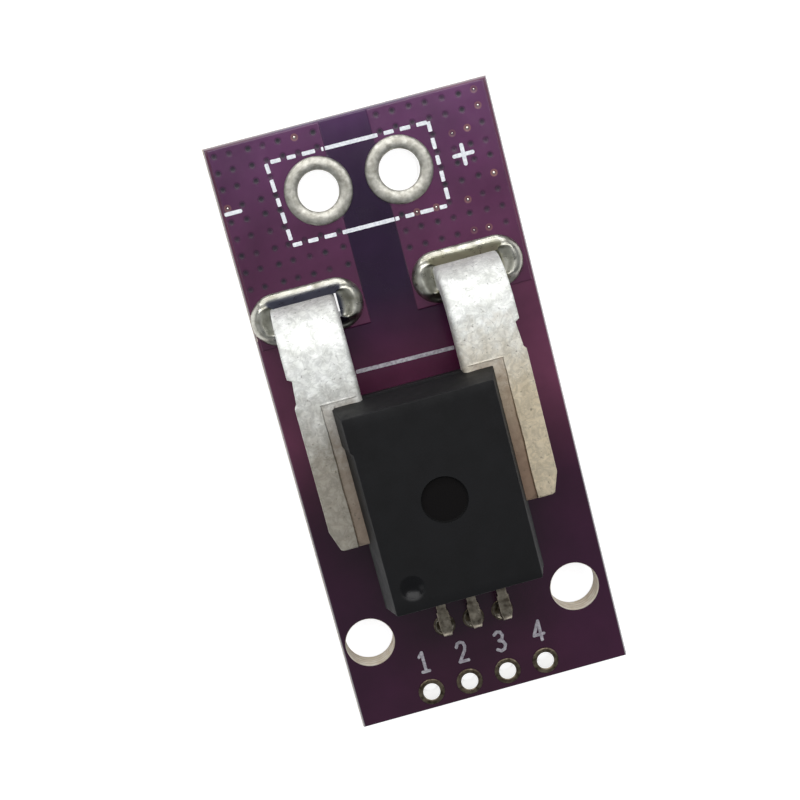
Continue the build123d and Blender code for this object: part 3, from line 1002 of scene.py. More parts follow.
@dataclass
class Lacquer:
    """The lacquer on one face of the board, raised over the copper and sunk into the vias.

    A bright via is one that filled with solder, and a dark one was only covered by the lacquer. No via
    lies in via_free, inside the printed frame. Fields that end in rings say where rows of points go,
    as shares of the ramp, the scored edge's rounding, the via's radius or the trace's width.
    """

    side: Side
    mounts: dict[str, dict]
    film: float = 0.06
    copper: float = 0.07
    ramp: float = 0.08
    ramp_rings: tuple[float, ...] = (0.9, 0.5, 0.17, -0.17, -0.5, -0.9)
    pour_gap: float = 3.0
    pour_shift: float = -0.2
    side_margin: float = 0.3
    end_margin: float = 0.2
    joint_lap: float = 0.05
    pad_lap: float = 0.03
    hole_margin: float = 0.04
    opening_ring: float = 0.12
    score_run: float = 0.15
    score_depth: float = 0.45
    score_round: float = 0.05
    score_rings: tuple[float, ...] = (-1.8, -1.0, -0.4, 0.2, 1.0)
    snapped_inset: float = 0.06
    flush_inset: float = 0.02
    via_radius: float = 0.25
    via_depth: float = 0.013
    via_rings: tuple[tuple[float, int], ...] = (
        (0.3, 8), (0.5, 12), (0.68, 12), (0.86, 12), (1.04, 12), (1.25, 12))
    via_rows: tuple[float, ...] = (18.40, 17.42, 16.42, 15.30, 14.38, 13.32, 12.26, 11.26, 10.17)
    via_left: tuple[float, ...] = (-8.29, -7.38, -6.20, -5.30, -4.30, -3.31, -2.14)
    via_right: tuple[float, ...] = (1.79, 2.77, 3.83, 4.82, 5.88, 6.92, 7.90)
    via_jitter: float = 0.06
    via_clear: float = 0.45
    via_free: tuple[Flat, Flat] = ((-5.0, 12.6), (4.6, 17.0))
    # How much painted shade each via gets: a base with a random spread.
    via_darkness: Flat = (0.85, 0.5)
    via_least: float = 0.25
    via_bright: tuple[Flat, ...] = (
        (-3.31, 18.34), (-8.31, 15.26), (6.96, 16.28), (5.99, 16.19), (7.89, 13.26), (5.95, 12.10),
        (3.96, 12.13), (2.74, 12.16), (5.87, 10.19), (6.80, 10.14), (7.90, 18.40), (7.92, 17.42))
    bright_reach: float = 0.5
    bright_darkness: float = 0.45
    rim_radius: float = 0.17
    rim_run: float = 0.05
    rim_reach: float = 0.4
    rim_share: Flat = (0.4, 0.35)
    trace_height: float = 0.03
    trace_width: float = 0.3
    trace_rings: tuple[float, ...] = (-0.75, -0.45, 0.45, 0.75)
    traces: tuple[tuple[Flat, ...], ...] = (
        ((3.06, -12.0), (3.30, -14.6), (3.20, -16.9)),
        ((3.54, -12.0), (3.69, -14.3), (3.62, -16.8)),
        ((1.71, -13.5), (1.30, -15.0), (1.07, -16.9)),
    )
    edge_pitch: float = 0.6
    ring_pitch: float = 0.3
    fill_pitch: float = 0.7
    fill_clear: float = 0.2

    def __post_init__(self) -> None:
        """Read the board's places from the frame."""
        self.low, self.high = millimetres("circuit_board")
        self.level = self.high.z if self.side is Side.TOP else self.low.z
        slots = [middle(f"slot_joint_{hand.name.lower()}") for hand in Hand]
        joint_low, joint_high = millimetres("slot_joint_left")
        length, width = joint_high.x - joint_low.x, joint_high.y - joint_low.y
        self.pour_low = slots[0].y - width / 2
        self.pour_high = self.high.y - self.end_margin
        lap = 2 * self.joint_lap
        self.openings = [Opening((s.x, s.y), length - lap, width - lap, 80) for s in slots]
        names = [f"terminal_pad_{hand.name.lower()}" for hand in Hand]
        names += [f"header_pad_{i}" for i in range(1, 5)]
        names += [f"lead_pad_{i}" for i in range(1, 4)]
        self.rings = []
        for name in names:
            low, high = millimetres(name)
            place = ((low.x + high.x) / 2, (low.y + high.y) / 2)
            across = high.x - low.x - 2 * self.pad_lap
            self.rings.append(Opening(place, across, across, 56))
        holes = self.mounts["mounting_holes"]
        x, y = (c / MM for c in holes["pos_m"][:2])
        half = holes["dims"]["spacing_x_mm"] / 2
        across = 2 * holes["dims"]["hole_r_mm"] + 2 * self.hole_margin
        self.mounting = [Opening((x + hand.value * half, y), across, across, 72) for hand in Hand]
        self.vias = self.via_places()
        traces = self.traces if self.side is Side.TOP else ()
        self.runs = [(Vector(start), Vector(end)) for trace in traces for start, end in zip(trace, trace[1:])]

    def pour_sides(self, hand: Hand) -> Flat:
        """Width of one pour.

        Args:
            hand: its side of the board.

        Returns:
            Its lowest and highest x.
        """
        inner = self.pour_shift + hand.value * self.pour_gap / 2
        outer = hand.value * (self.high.x - self.side_margin)
        return min(inner, outer), max(inner, outer)

    def over_copper(self, x: float, y: float) -> float:
        """How far up the pour's edge a point lies.

        Args:
            x: place across the board.
            y: place along it.

        Returns:
            0 on bare laminate and 1 on the pour.
        """
        reach = -math.inf
        for hand in Hand:
            left, right = self.pour_sides(hand)
            reach = max(reach, min(x - left, right - x, y - self.pour_low, self.pour_high - y))
        return smooth_step(reach / self.ramp + 0.5)

    def via_places(self) -> list[Point]:
        """Lay out the vias, clear of the holes and of the printed frame's inside.

        Returns:
            The place of each via, and how much painted shade it gets.
        """
        low, high = self.via_free
        found = []
        for row, y in enumerate(self.via_rows):
            for column, x in enumerate(self.via_left + self.via_right):
                here_x = x + self.via_jitter * wobble(column, row, 3.1, 0.7)
                here_y = y + self.via_jitter * wobble(column, row, 8.7, 0.7)
                near = min(o.distance(here_x, here_y) for o in self.openings + self.rings)
                framed = low[0] < x < high[0] and low[1] < y < high[1]
                bright = any(math.dist((x, y), place) < self.bright_reach for place in self.via_bright)
                if near > self.via_clear and not framed and not bright:
                    dark = self.via_darkness[0] + self.via_darkness[1] * wobble(column, row, 5.3, 0.9)
                    found.append((here_x, here_y, min(1.0, max(self.via_least, dark))))
        return found + [(x, y, self.bright_darkness) for x, y in self.via_bright]

    def rim(self, x: float, y: float) -> float:
        """How bare the copper ring of a bright via is at a point.

        Args:
            x: place across the board.
            y: place along it.

        Returns:
            0 where the lacquer covers all, and up to 1 on the ring.
        """
        near, place = min((math.dist((x, y), place), place) for place in self.via_bright)
        if near >= self.rim_reach:
            return 0.0
        bare = self.rim_share[0] + self.rim_share[1] * wobble(*place, 0.4, 0.8)
        return bare * smooth_step(1.5 - abs(near - self.rim_radius) / self.rim_run)

    def base(self, x: float, y: float) -> float:
        """Height of the film above the laminate, without the vias.

        Args:
            x: place across the board.
            y: place along it.

        Returns:
            The height, which falls away where the board was scored.
        """
        height = self.film + self.copper * self.over_copper(x, y)
        here = Vector((x, y))
        for start, end in self.runs:
            along = end - start
            part = max(0.0, min(1.0, (here - start).dot(along) / along.length_squared))
            away = (start + part * along - here).length
            raised = self.trace_height * smooth_step(1.5 - 2 * away / self.trace_width)
            height = max(height, self.film + raised)
        over = max(abs(x) - (self.high.x - self.score_run), abs(y) - (self.high.y - self.score_run))
        if over < self.score_round:
            over = max(0.0, over + self.score_round)**2 / (4 * self.score_round)
        return height - over / self.score_run * self.score_depth

    def height(self, x: float, y: float) -> tuple[float, float]:
        """Height of the film above the laminate, sunk into the vias.

        Args:
            x: place across the board.
            y: place along it.

        Returns:
            The height, and how much painted shade the via puts into the film there.
        """
        height = self.base(x, y)
        for via_x, via_y, dark in self.vias:
            part = math.hypot(x - via_x, y - via_y) / self.via_radius
            if part < 1.2:
                height -= self.via_depth * smooth_step(1.1 - part)
                return height, dark * smooth_step(1.25 - 1.1 * part)
        return height, 0.0

    def sheet(self) -> Sheet:
        """Lay out the film's edges and the rings of points that its relief needs.

        Returns:
            The flat sheet, ready to be cut into triangles.
        """
        on_top = self.side is Side.TOP
        near, far = (self.snapped_inset, self.flush_inset) if on_top else (self.score_run, self.score_run)
        low = (self.low.x + near, self.low.y + near)
        high = (self.high.x - far, self.high.y - far)
        sheet = Sheet(edge_walk(corners_of(low, high), self.edge_pitch))
        sheet.openings = self.openings + self.rings + self.mounting
        for opening in sheet.openings:
            sheet.extra += opening.outline(self.opening_ring)
        for hand in Hand:
            west, east = self.pour_sides(hand)
            for grow in self.ramp_rings:
                step = grow * self.ramp
                south, north = self.pour_low - step, self.pour_high + step
                sheet.add_crease(corners_of((west - step, south), (east + step, north)), self.ring_pitch)
        # Underneath, the two outer rings would lie past the film's edge.
        for step in self.score_rings if on_top else self.score_rings[:3]:
            edge_x = self.high.x - self.score_run + step * self.score_round
            edge_y = self.high.y - self.score_run + step * self.score_round
            sheet.add_crease(corners_of((-edge_x, -edge_y), (edge_x, edge_y)), self.edge_pitch)
        for x, y, _ in self.vias:
            sheet.extra.append((x, y))
            for part, count in self.via_rings:
                sheet.extra += circle((x, y), part * self.via_radius, count)
        for start, end in self.runs:
            along = (end - start).normalized()
            across = Vector((-along.y, along.x))
            for part in self.trace_rings:
                off = across * part * self.trace_width
                sheet.extra += edge_walk([tuple(start + off), tuple(end + off)], self.ring_pitch, False)
        return sheet

    def build(self) -> None:
        """Make the film as a relief with a skirt down to the board."""
        points, faces, loops = self.sheet().triangulate(self.fill_pitch, self.fill_clear)
        sign = self.side.value
        copper: list[float] = []
        via: list[float] = []
        rim: list[float] = []
        shape = Shape(marks={"copper": copper, "via": via, "rim": rim})
        for x, y in points:
            height, dark = self.height(x, y)
            shape.points.append((x, y, self.level + sign * height))
            copper.append(self.over_copper(x, y))
            via.append(dark)
            rim.append(self.rim(x, y) if self.side is Side.TOP else 0.0)
        shape.faces = [face if sign > 0 else tuple(reversed(face)) for face in faces]
        for loop in loops:
            foot = []
            for number in loop:
                x, y, z = shape.points[number]
                height = (z - self.level) * sign
                foot.append((x, y, self.level + sign * min(0.0, height - self.film)))
                copper.append(copper[number])
                via.append(0.0)
                rim.append(0.0)
            shape.bridge(shape.ring(foot), loop)
        shape.build(f"lacquer_{self.side.name.lower()}", LACQUER, "solder_mask")


@dataclass
class ViaPlugs:
    """Small beads of solder that stand in the bright vias."""

    lacquer: Lacquer
    radius: float = 0.085
    radius_spread: float = 0.5
    height: float = 0.045
    sunk: float = 0.01
    rows: int = 6
    segments: int = 16

    def build(self) -> None:
        """Make all the beads as one piece."""
        shape = Shape()
        for x, y in self.lacquer.via_bright:
            floor = self.lacquer.level + self.lacquer.height(x, y)[0] - self.sunk
            size = self.radius * (1 + self.radius_spread * wobble(x, y, 0.4, 0.8))
            rings = []
            for row in range(self.rows):
                turn = math.pi / 2 * row / (self.rows - 1)
                ring = circle((x, y), max(0.001, size * math.cos(turn)), self.segments)
                rings.append([(px, py, floor + self.height * math.sin(turn)) for px, py in ring])
            shape.loft(rings)
        shape.build("via_plugs_soldered", PLUG, "solder")


@dataclass
class Legend:
    """White lines and plain signs printed on the lacquer."""

    lacquer: Lacquer
    line_width: float = 0.24
    glyph_width: float = 0.2
    blunt: float = 5.0
    ink: float = 0.008
    ink_at_edge: float = 0.97
    ragged: float = 0.07
    ragged_wave: float = 0.16
    station: float = 0.12
    tip_rows: tuple[float, ...] = (0.3, 0.65, 0.9, 1.0)
    tip_half: float = 0.002
    dash_gap: float = 0.19
    dash_least: float = 0.05
    via_reach: float = 0.3
    frame_corners: tuple[Flat, ...] = ((-5.37, 17.28), (4.74, 17.20), (4.80, 12.05), (-5.10, 12.13))
    body_line: tuple[Flat, Flat] = ((-3.27, 3.59), (2.78, 3.50))
    sign_size: float = 1.15
    minus_shorter: float = 1.3
    minus_center: Flat = (-8.05, 14.93)
    plus_center: Flat = (6.35, 14.80)
    digit_height: float = 1.30
    digit_aspect: float = 0.62
    digit_y: float = -15.72
    digits: tuple[tuple[tuple[Flat, ...], ...], ...] = (
        (((0.22, 0.80), (0.5, 1.0), (0.5, 0.0)), ((0.22, 0.0), (0.78, 0.0))),
        (((0.15, 0.78), (0.28, 0.95), (0.5, 1.0), (0.74, 0.93), (0.82, 0.74), (0.72, 0.52), (0.15, 0.0)),
         ((0.15, 0.0), (0.85, 0.0))),
        (((0.16, 0.88), (0.4, 1.0), (0.68, 0.96), (0.8, 0.78), (0.68, 0.58), (0.42, 0.53)),
         ((0.42, 0.53), (0.72, 0.47), (0.86, 0.26), (0.72, 0.06), (0.42, 0.0), (0.14, 0.1))),
        (((0.66, 0.0), (0.66, 1.0), (0.1, 0.3), (0.9, 0.3)),),
    )

    def stroke(self, shape: Shape, start: Flat, end: Flat, width: float, power: float = 2.0) -> None:
        """Print one straight stroke that follows the lacquer.

        Args:
            shape: takes the stroke's faces.
            start: one end of its middle line.
            end: the other end.
            width: the stroke's width.
            power: shape of its ends, round at 2 and blunter above.
        """
        radius = width / 2
        run = Vector(end) - Vector(start)
        length = run.length
        along = run.normalized()
        across = Vector((-along.y, along.x))
        inner = max(2, round(length / self.station))
        tips = [part * radius for part in self.tip_rows]
        places = [-tip for tip in reversed(tips)]
        places += [length * i / inner for i in range(inner + 1)]
        places += [length + tip for tip in tips]
        rows: list[list[int]] = []
        for place in places:
            past = max(-place, place - length, 0.0)
            half = radius * max(0.0, 1 - (past / radius) ** power) ** (1 / power) + self.tip_half
            ragged = 1 + self.ragged * wobble(start[0] + place, start[1], 1.7, self.ragged_wave)
            center = Vector(start) + along * place
            row = []
            for part in (-1, 0, 1):
                spot = center + across * part * half * ragged
                lift = self.ink * (1.0 if part == 0 else self.ink_at_edge)
                level = self.lacquer.level + self.lacquer.base(spot.x, spot.y)
                row.append((spot.x, spot.y, level + lift))
            feet = [(x, y, z - self.ink) for x, y, z in (row[0], row[2])]
            rows.append(shape.ring([feet[0]] + row + [feet[1]]))
        for first, second in zip(rows, rows[1:]):
            shape.bridge(first, second, closed=False)

    def dashed(self, shape: Shape, start: Flat, end: Flat) -> None:
        """Print a line that stops short of each via in its way.

        Args:
            shape: takes the line's faces.
            start: one end of its middle line.
            end: the other end.
        """
        run = Vector(end) - Vector(start)
        along = run.normalized()
        gaps = []
        for x, y, _ in self.lacquer.vias:
            reach = Vector((x, y)) - Vector(start)
            place = reach.dot(along)
            aside = (reach - place * along).length
            if aside < self.via_reach and -self.via_reach < place < run.length + self.via_reach:
                gaps.append(place)
        begin = 0.0
        for gap in sorted(gaps) + [math.inf]:
            stop = min(gap - self.dash_gap, run.length)
            first, last = begin + self.line_width / 2, stop - self.line_width / 2
            if last - first > self.dash_least:
                self.stroke(shape, tuple(Vector(start) + along * first), tuple(Vector(start) + along * last),
                            self.line_width, self.blunt)
            begin = gap + self.dash_gap

    def build(self) -> None:
        """Print the terminal frame, the body line, the two signs and the digits."""
        frame = Shape()
        corners = self.frame_corners
        for start, end in zip(corners, corners[1:] + corners[:1]):
            self.dashed(frame, start, end)
        frame.build("terminal_frame_print", INK, "silk_ink")
        line = Shape()
        self.stroke(line, *self.body_line, self.line_width, self.blunt)
        # The body line's greyer ink is partly painted shade between the bars.
        line.build("body_line_print", THIN_AND_SHADED_INK, "silk_ink")
        signs = Shape()
        half = self.sign_size / 2
        short = half / self.minus_shorter
        x, y = self.minus_center
        self.stroke(signs, (x - short, y), (x + short, y), self.line_width)
        x, y = self.plus_center
        self.stroke(signs, (x - half, y), (x + half, y), self.line_width)
        self.stroke(signs, (x, y - half), (x, y + half), self.line_width)
        signs.build("polarity_print", INK, "silk_ink")
        numbers = Shape()
        for index, glyph in enumerate(self.digits):
            center = middle(f"header_pad_{index + 1}")
            for path in glyph:
                places = [(center.x + (u - 0.5) * self.digit_aspect * self.digit_height,
                           self.digit_y + (v - 0.5) * self.digit_height) for u, v in path]
                for start, end in zip(places, places[1:]):
                    self.stroke(numbers, start, end, self.glyph_width)
        # The digits' greyer ink is partly painted shade of the lower board.
        numbers.build("header_numbers_print", THIN_AND_SHADED_INK, "silk_ink")


@dataclass
class Eyelets:
    """Tinned rims of the plated holes, crowned where the tin drew up."""

    mounts: dict[str, dict]
    terminal_crown: float = 0.22
    small_crown: float = 0.05
    crown_power: float = 0.75
    crown_steps: int = 12
    tilt: float = 0.12
    terminal_lump: float = 0.02
    small_lump: float = 0.01
    lump_wave: float = 0.7
    copper: float = 0.07
    plating: float = 0.08
    lead_bore: float = 0.9
    segments: int = 96

    def eyelet(self, node: str, hole: float, crown: float, lump: float, finish: Finish) -> None:
        """Make one plated hole as a closed turned form.

        Args:
            node: the CAD node that it replaces.
            hole: bore diameter.
            crown: height of the tin's crown over the copper.
            lump: unevenness of the crown.
            finish: its surface.
        """
        low, high = millimetres(node)
        center = (low + high) / 2
        bottom, top = board_levels()
        inner, outer = hole / 2, (high.x - low.x) / 2
        arch = []
        for step in range(self.crown_steps + 1):
            turn = math.pi * (1 - step / self.crown_steps)
            across = (inner + outer) / 2 + (outer - inner) / 2 * math.cos(turn)
            arch.append((across, self.copper + crown * math.sin(turn) ** self.crown_power))
        profile = [(r, top + z, 1.0) for r, z in arch]
        profile += [(outer, top, 0.0), (inner + self.plating, top, 0.0), (inner + self.plating, bottom, 0.0),
                    (outer, bottom, 0.0)]
        profile += [(r, bottom - z, 1.0) for r, z in reversed(arch)]
        rings = []
        bore = []
        for number, (r, z, free) in enumerate(profile):
            bore += [1.0 if number in (0, len(profile) - 1) else 0.0] * self.segments
            # The unevenness fades out towards the rim's edge, so that it sits on the copper.
            fade = min(1.0, 4 * (outer - r) / outer)
            ring = []
            for x, y in circle((0.0, 0.0), 1.0, self.segments):
                wave = wobble(center.x + x * r, center.y + y * r, z, self.lump_wave)
                tilt = self.tilt * crown * free * y
                rise = (lump * wave * free + tilt) * (1 if z > (top + bottom) / 2 else -1)
                ring.append((center.x + x * r, center.y + y * r, z + rise * fade))
            rings.append(ring)
        shape = Shape(marks={"bore": bore})
        shape.loft(rings, wrap=True)
        shape.build(f"{node}_tinned", finish, "tin_coat", (node,))

    def build(self) -> None:
        """Make every plated hole's rim."""
        terminal = 2 * self.mounts["current_terminals"]["dims"]["hole_r_mm"]
        header = 2 * self.mounts["header_outer_holes"]["dims"]["hole_r_mm"]
        for hand in Hand:
            self.eyelet(f"terminal_pad_{hand.name.lower()}", terminal, self.terminal_crown,
                        self.terminal_lump, TIN)
        for index in range(1, 5):
            self.eyelet(f"header_pad_{index}", header, self.small_crown, self.small_lump, DULL_TIN)
        for index in range(1, 4):
            self.eyelet(f"lead_pad_{index}", self.lead_bore, self.small_crown, self.small_lump, DULL_TIN)


@dataclass
class SlotSolder:
    """Solder round one of the conductor's legs.

    Where it's narrow it's a fillet: a steep shoulder and a climb up the leg. Where it's wide, at the
    ends of the slot, it's a fat ring with a dip behind it and a short climb at the leg.
    """

    hand: Hand
    crown: float = 0.72
    crown_back: float = 0.62
    shoulder: float = 0.30
    shoulder_share: float = 0.34
    climb_share: float = 0.95
    climb_power: float = 1.3
    crest: float = 0.62
    ring_share: float = 0.8
    dip_share: float = 0.46
    dip_run: float = 0.6
    foot_share: float = 0.2
    foot_from: float = 0.75
    wide_from: float = 0.95
    wide_run: float = 0.4
    least_run: float = 0.05
    copper: float = 0.07
    leg: Flat = (4.0, 1.5)
    leg_lap: float = 0.98
    lean: float = 0.92
    rings: int = 18
    count: int = 112
    lump: float = 0.03
    lump_waves: Flat = (0.9, 0.35)
    stain_and_shade_from: float = 0.22
    stain_and_shade_from_more: float = 0.9
    stain_and_shade_run: float = 0.35

    def wide(self, across: float) -> float:
        """How much the solder is a ring instead of a fillet, from its width."""
        return smooth_step((across - self.wide_from) / self.wide_run)

    def rise(self, away: float, across: float) -> float:
        """Height of the solder as a share of its crown.

        Args:
            away: distance from the outer edge.
            across: width of the solder there, from its outer edge to the leg.

        Returns:
            The share.
        """
        edge = min(1.0, away / self.shoulder)
        up = max(0.0, away - self.shoulder) / max(self.least_run, across - self.shoulder)
        fillet = self.shoulder_share * (1 - (1 - edge) ** 2) ** 0.8 + self.climb_share * up**self.climb_power
        if away < self.crest:
            ring = (1 - (1 - away / self.crest) ** 2) ** 0.85
        else:
            rest = max(self.least_run, across - self.crest)
            dip = smooth_step((away - self.crest) / min(self.dip_run, rest))
            climb = smooth_step(((away - self.crest) / rest - self.foot_from) / (1 - self.foot_from))
            ring = 1 - self.dip_share * dip + self.foot_share * climb
        return fillet + (self.ring_share * ring - fillet) * self.wide(across)

    def face(self, side: Side, center: Flat, size: Flat) -> tuple[list[list[Point]], list[list[float]]]:
        """Solder on one face of the board.

        Args:
            side: the face.
            center: the slot's middle.
            size: length and width over the solder.

        Returns:
            Rings of points from the outer edge to the leg, and how much stain and painted shade each point
            takes.
        """
        outer = obround(center, size[0], size[1], self.count)
        bottom, top = board_levels()
        level = top + self.copper if side is Side.TOP else bottom - self.copper
        crown = self.crown if side is Side.TOP else self.crown_back
        half_x, half_y = self.leg[0] / 2, self.leg[1] / 2
        found = []
        stain = []
        for ring in range(self.rings + 1):
            part = ring / self.rings
            row = []
            film = []
            for x, y in outer:
                off_x, off_y = x - center[0], y - center[1]
                near_x = max(-half_x, min(half_x, off_x * self.lean))
                near_y = max(-half_y, min(half_y, off_y))
                scale = max(abs(near_x) / half_x, abs(near_y) / half_y)
                near_x, near_y = near_x / scale * self.leg_lap, near_y / scale * self.leg_lap
                across = math.hypot(off_x - near_x, off_y - near_y)
                here_x = center[0] + off_x + part * (near_x - off_x)
                here_y = center[1] + off_y + part * (near_y - off_y)
                wave = wobble(here_x, here_y, 4.0 * side.value, self.lump_waves[0])
                wave += 0.5 * wobble(here_x, here_y, 2.0, self.lump_waves[1])
                height = crown * self.rise(part * across, across) + self.lump * wave * smooth_step(part * 4)
                row.append((here_x, here_y, level + side.value * height))
                # The band of stain and painted shade starts further from the edge where the solder is wide.
                start = self.stain_and_shade_from + self.stain_and_shade_from_more * self.wide(across)
                film.append(smooth_step((part * across - start) / self.stain_and_shade_run))
            found.append(row)
            stain.append(film)
        return found, stain

    def build(self) -> None:
        """Make the solder of one slot, both faces joined through the slot."""
        name = f"slot_joint_{self.hand.name.lower()}"
        low, high = millimetres(name)
        center = ((low.x + high.x) / 2, (low.y + high.y) / 2)
        size = (high.x - low.x, high.y - low.y)
        top, top_stain_and_shade = self.face(Side.TOP, center, size)
        under, under_stain_and_shade = self.face(Side.BOTTOM, center, size)
        shape = Shape(marks={"stain": [value for film in top_stain_and_shade[::-1] + under_stain_and_shade for value in film]})
        shape.loft(top[::-1] + under, wrap=True)
        finish = BLUE_SOLDER if self.hand is Hand.LEFT else SOLDER
        shape.build(f"{name}_reflowed", finish, "solder", (name,))


@dataclass
class Conductor:
    """The stamped bar: two wings along the case, two bends and two legs, joined inside the case."""

    bar_width: float = 4.0
    thickness: float = 1.5
    bend_radius: float = 1.5
    bend_steps: int = 20
    outer_corner: float = 0.13
    inner_corner: float = 0.32
    under_corner: float = 0.10
    notch_depth: float = 0.27
    notch_foot: float = 0.14
    notch_length: float = 1.85
    notch_from_case: float = 0.40
    notch_run: float = 0.15
    taper_run: float = 0.45
    taper_length: float = 1.30
    case_inset: float = 2.1
    coined_width: float = 0.58
    coined_waver: float = 0.035
    coined_slope: float = 0.03
    coined_front: float = 0.29
    coined_depth: float = 0.08
    groove_width: float = 0.12
    groove_depth: float = 0.05
    groove_from: float = 0.9
    groove_run: float = 1.5
    lip: float = 0.02
    end_bevel: float = 0.09
    station: float = 0.2
    bridge_width: float = 3.6
    bridge_lap: float = 0.4
    bridge_inset: float = 0.05
    leg_chamfer: float = 0.2
    leg_steps: int = 11
    droop_deg: float = 6.0
    droop_from_case: float = 0.5
    dent: float = 0.008

    def __post_init__(self) -> None:
        """Read the bar's places from the frame."""
        self.low, self.high = millimetres("primary_conductor")
        self.case_front = millimetres("sensor_case")[1].y
        self.shift = (self.low.x + self.high.x) / 2
        self.reach = (self.high.x - self.low.x) / 2
        self.case_half = self.reach - self.case_inset

    def outer_inset(self, y: float) -> float:
        """How far the outer edge is set in by the notch near the case and the taper at the wing's end.

        Args:
            y: place along the bar.

        Returns:
            The inset.
        """
        start = self.case_front + self.notch_from_case
        end = start + self.notch_length
        if start < y < end:
            places = [start, start + self.notch_run, end - self.notch_run, end]
            return float(np.interp(y, places, [0.0, self.notch_foot, self.notch_depth, 0.0]))
        low = self.low.y + self.taper_length
        return self.taper_run * max(0.0, low - y) / self.taper_length

    def wing_places(self, bend_y: float) -> list[float]:
        """Places along the wing that its notch, taper and coined strip need, and even ones between.

        Args:
            bend_y: where the bend starts.

        Returns:
            The places in rising order.
        """
        notch = self.case_front + self.notch_from_case
        coined = self.case_front + self.coined_front
        # The points close before and after the strip's front make its step and its small lip.
        needed = {self.low.y + self.end_bevel, self.low.y + self.taper_length, coined, coined - 0.04,
                  coined + 0.07, notch, notch + self.notch_run, notch + self.notch_length - self.notch_run,
                  notch + self.notch_length}
        steps = round((bend_y - self.low.y) / self.station)
        needed |= {self.low.y + (bend_y - self.low.y) * i / steps for i in range(2, steps + 1)}
        kept: list[float] = []
        for y in sorted(needed):
            if not kept or y - kept[-1] > 0.03:
                kept.append(y)
        return kept

    def stations(self) -> list[tuple[float, float, float, float]]:
        """Lay out the sections along a bar, from the wing's end over the bend to the leg's foot.

        Returns:
            For each section y and z of its top, how far it has turned down, and how far it's drawn in.
        """
        leg_face = self.high.y
        bend_y = leg_face - self.bend_radius - self.thickness
        found = [(self.low.y, self.high.z, 0.0, self.end_bevel)]
        droop = math.radians(self.droop_deg)
        droop_y = self.case_front + self.droop_from_case
        for y in self.wing_places(bend_y):
            part = max(0.0, y - droop_y) / (bend_y - droop_y)
            found.append((y, self.high.z - droop * part**2 * (bend_y - droop_y) / 2, droop * part, 0.0))
        start_z = found[-1][1]
        radius = (leg_face - bend_y) / (1 - math.sin(droop))
        for step in range(1, self.bend_steps + 1):
            turn = droop + (math.pi / 2 - droop) * step / self.bend_steps
            found.append((bend_y + radius * (math.sin(turn) - math.sin(droop)),
                          start_z - radius * (math.cos(droop) - math.cos(turn)), turn, 0.0))
        drop = found[-1][1]
        for step in range(1, self.leg_steps + 1):
            z = drop - (drop - self.leg_chamfer) * step / self.leg_steps
            found.append((leg_face, z, math.pi / 2, 0.0))
        found.append((leg_face, 0.0, math.pi / 2, self.leg_chamfer))
        return found

    def top_face(self, y: float, flat: bool, inner: float, last: float) -> list[tuple[float, float]]:
        """Top of a bar's section, with the coined strip and the groove that the case's edge left in it.

        Args:
            y: place along the bar.
            flat: true along the wing.
            inner: where the strip starts.
            last: where the outer corner starts.

        Returns:
            Distance from the middle plane, and depth below the top.
        """
        edge = self.case_half + self.coined_width + self.coined_waver * wobble(y, 0.3, 0.7, 0.9)
        front = self.case_front + self.coined_front
        coined = flat and y < front - 0.001
        raised = self.lip if flat and abs(y - front) < 0.001 else 0.0
        groove = self.groove_depth * smooth_step((self.groove_from - y) / self.groove_run)
        found = []
        for number in range(1, 6):
            x = inner + (edge - self.groove_width - inner) * number / 5
            found.append((x, self.coined_depth if coined else -raised))
        x = edge - self.coined_slope
        found.append((x, self.coined_depth + groove if coined else -raised))
        x = edge + self.coined_slope
        found += [(x + (last - x) * number / 6, 0.0) for number in range(7)]
        return found

    def section(self, y: float, flat: bool, inset: float) -> list[tuple[float, float, float]]:
        """Lay out the section of a bar.

        Args:
            y: place along the bar.
            flat: true along the wing, where the case and the notch shape it.
            inset: how far the whole section is drawn in.

        Returns:
            Distance from the middle plane, depth below the top and the coined mark of each point, round
            from the inner top corner.
        """
        inner = self.reach - self.bar_width + inset
        outer = self.reach - inset - (self.outer_inset(y) if flat else 0.0)
        high, low = inset, self.thickness - inset
        last = outer - self.outer_corner
        found = []
        for step in range(5):
            turn = math.pi / 2 * step / 4
            found.append((inner + self.inner_corner * (1 - math.cos(turn)),
                          high + self.inner_corner * (1 - math.sin(turn)), 0.0))
        for x, depth in self.top_face(y, flat, inner + self.inner_corner, last):
            found.append((x, high + depth, 1.0 if depth > 0 else 0.0))
        for step in range(1, 5):
            turn = math.pi / 2 * step / 4
            found.append((last + self.outer_corner * math.sin(turn),
                          high + self.outer_corner * (1 - math.cos(turn)), 0.0))
        tall = low - high - self.outer_corner - self.under_corner
        found += [(outer, high + self.outer_corner + tall * step / 4, 0.0) for step in range(1, 4)]
        for step in range(4):
            turn = math.pi / 2 * step / 3
            found.append((outer - self.under_corner * (1 - math.cos(turn)),
                          low - self.under_corner * (1 - math.sin(turn)), 0.0))
        wide = outer - inner - 2 * self.under_corner
        found += [(outer - self.under_corner - wide * step / 6, low, 0.0) for step in range(1, 6)]
        for step in range(4):
            turn = math.pi / 2 * step / 3
            found.append((inner + self.under_corner * (1 - math.sin(turn)),
                          low - self.under_corner * (1 - math.cos(turn)), 0.0))
        tall = low - high - self.inner_corner - self.under_corner
        found += [(inner, low - self.under_corner - tall * step / 4, 0.0) for step in range(1, 4)]
        return found

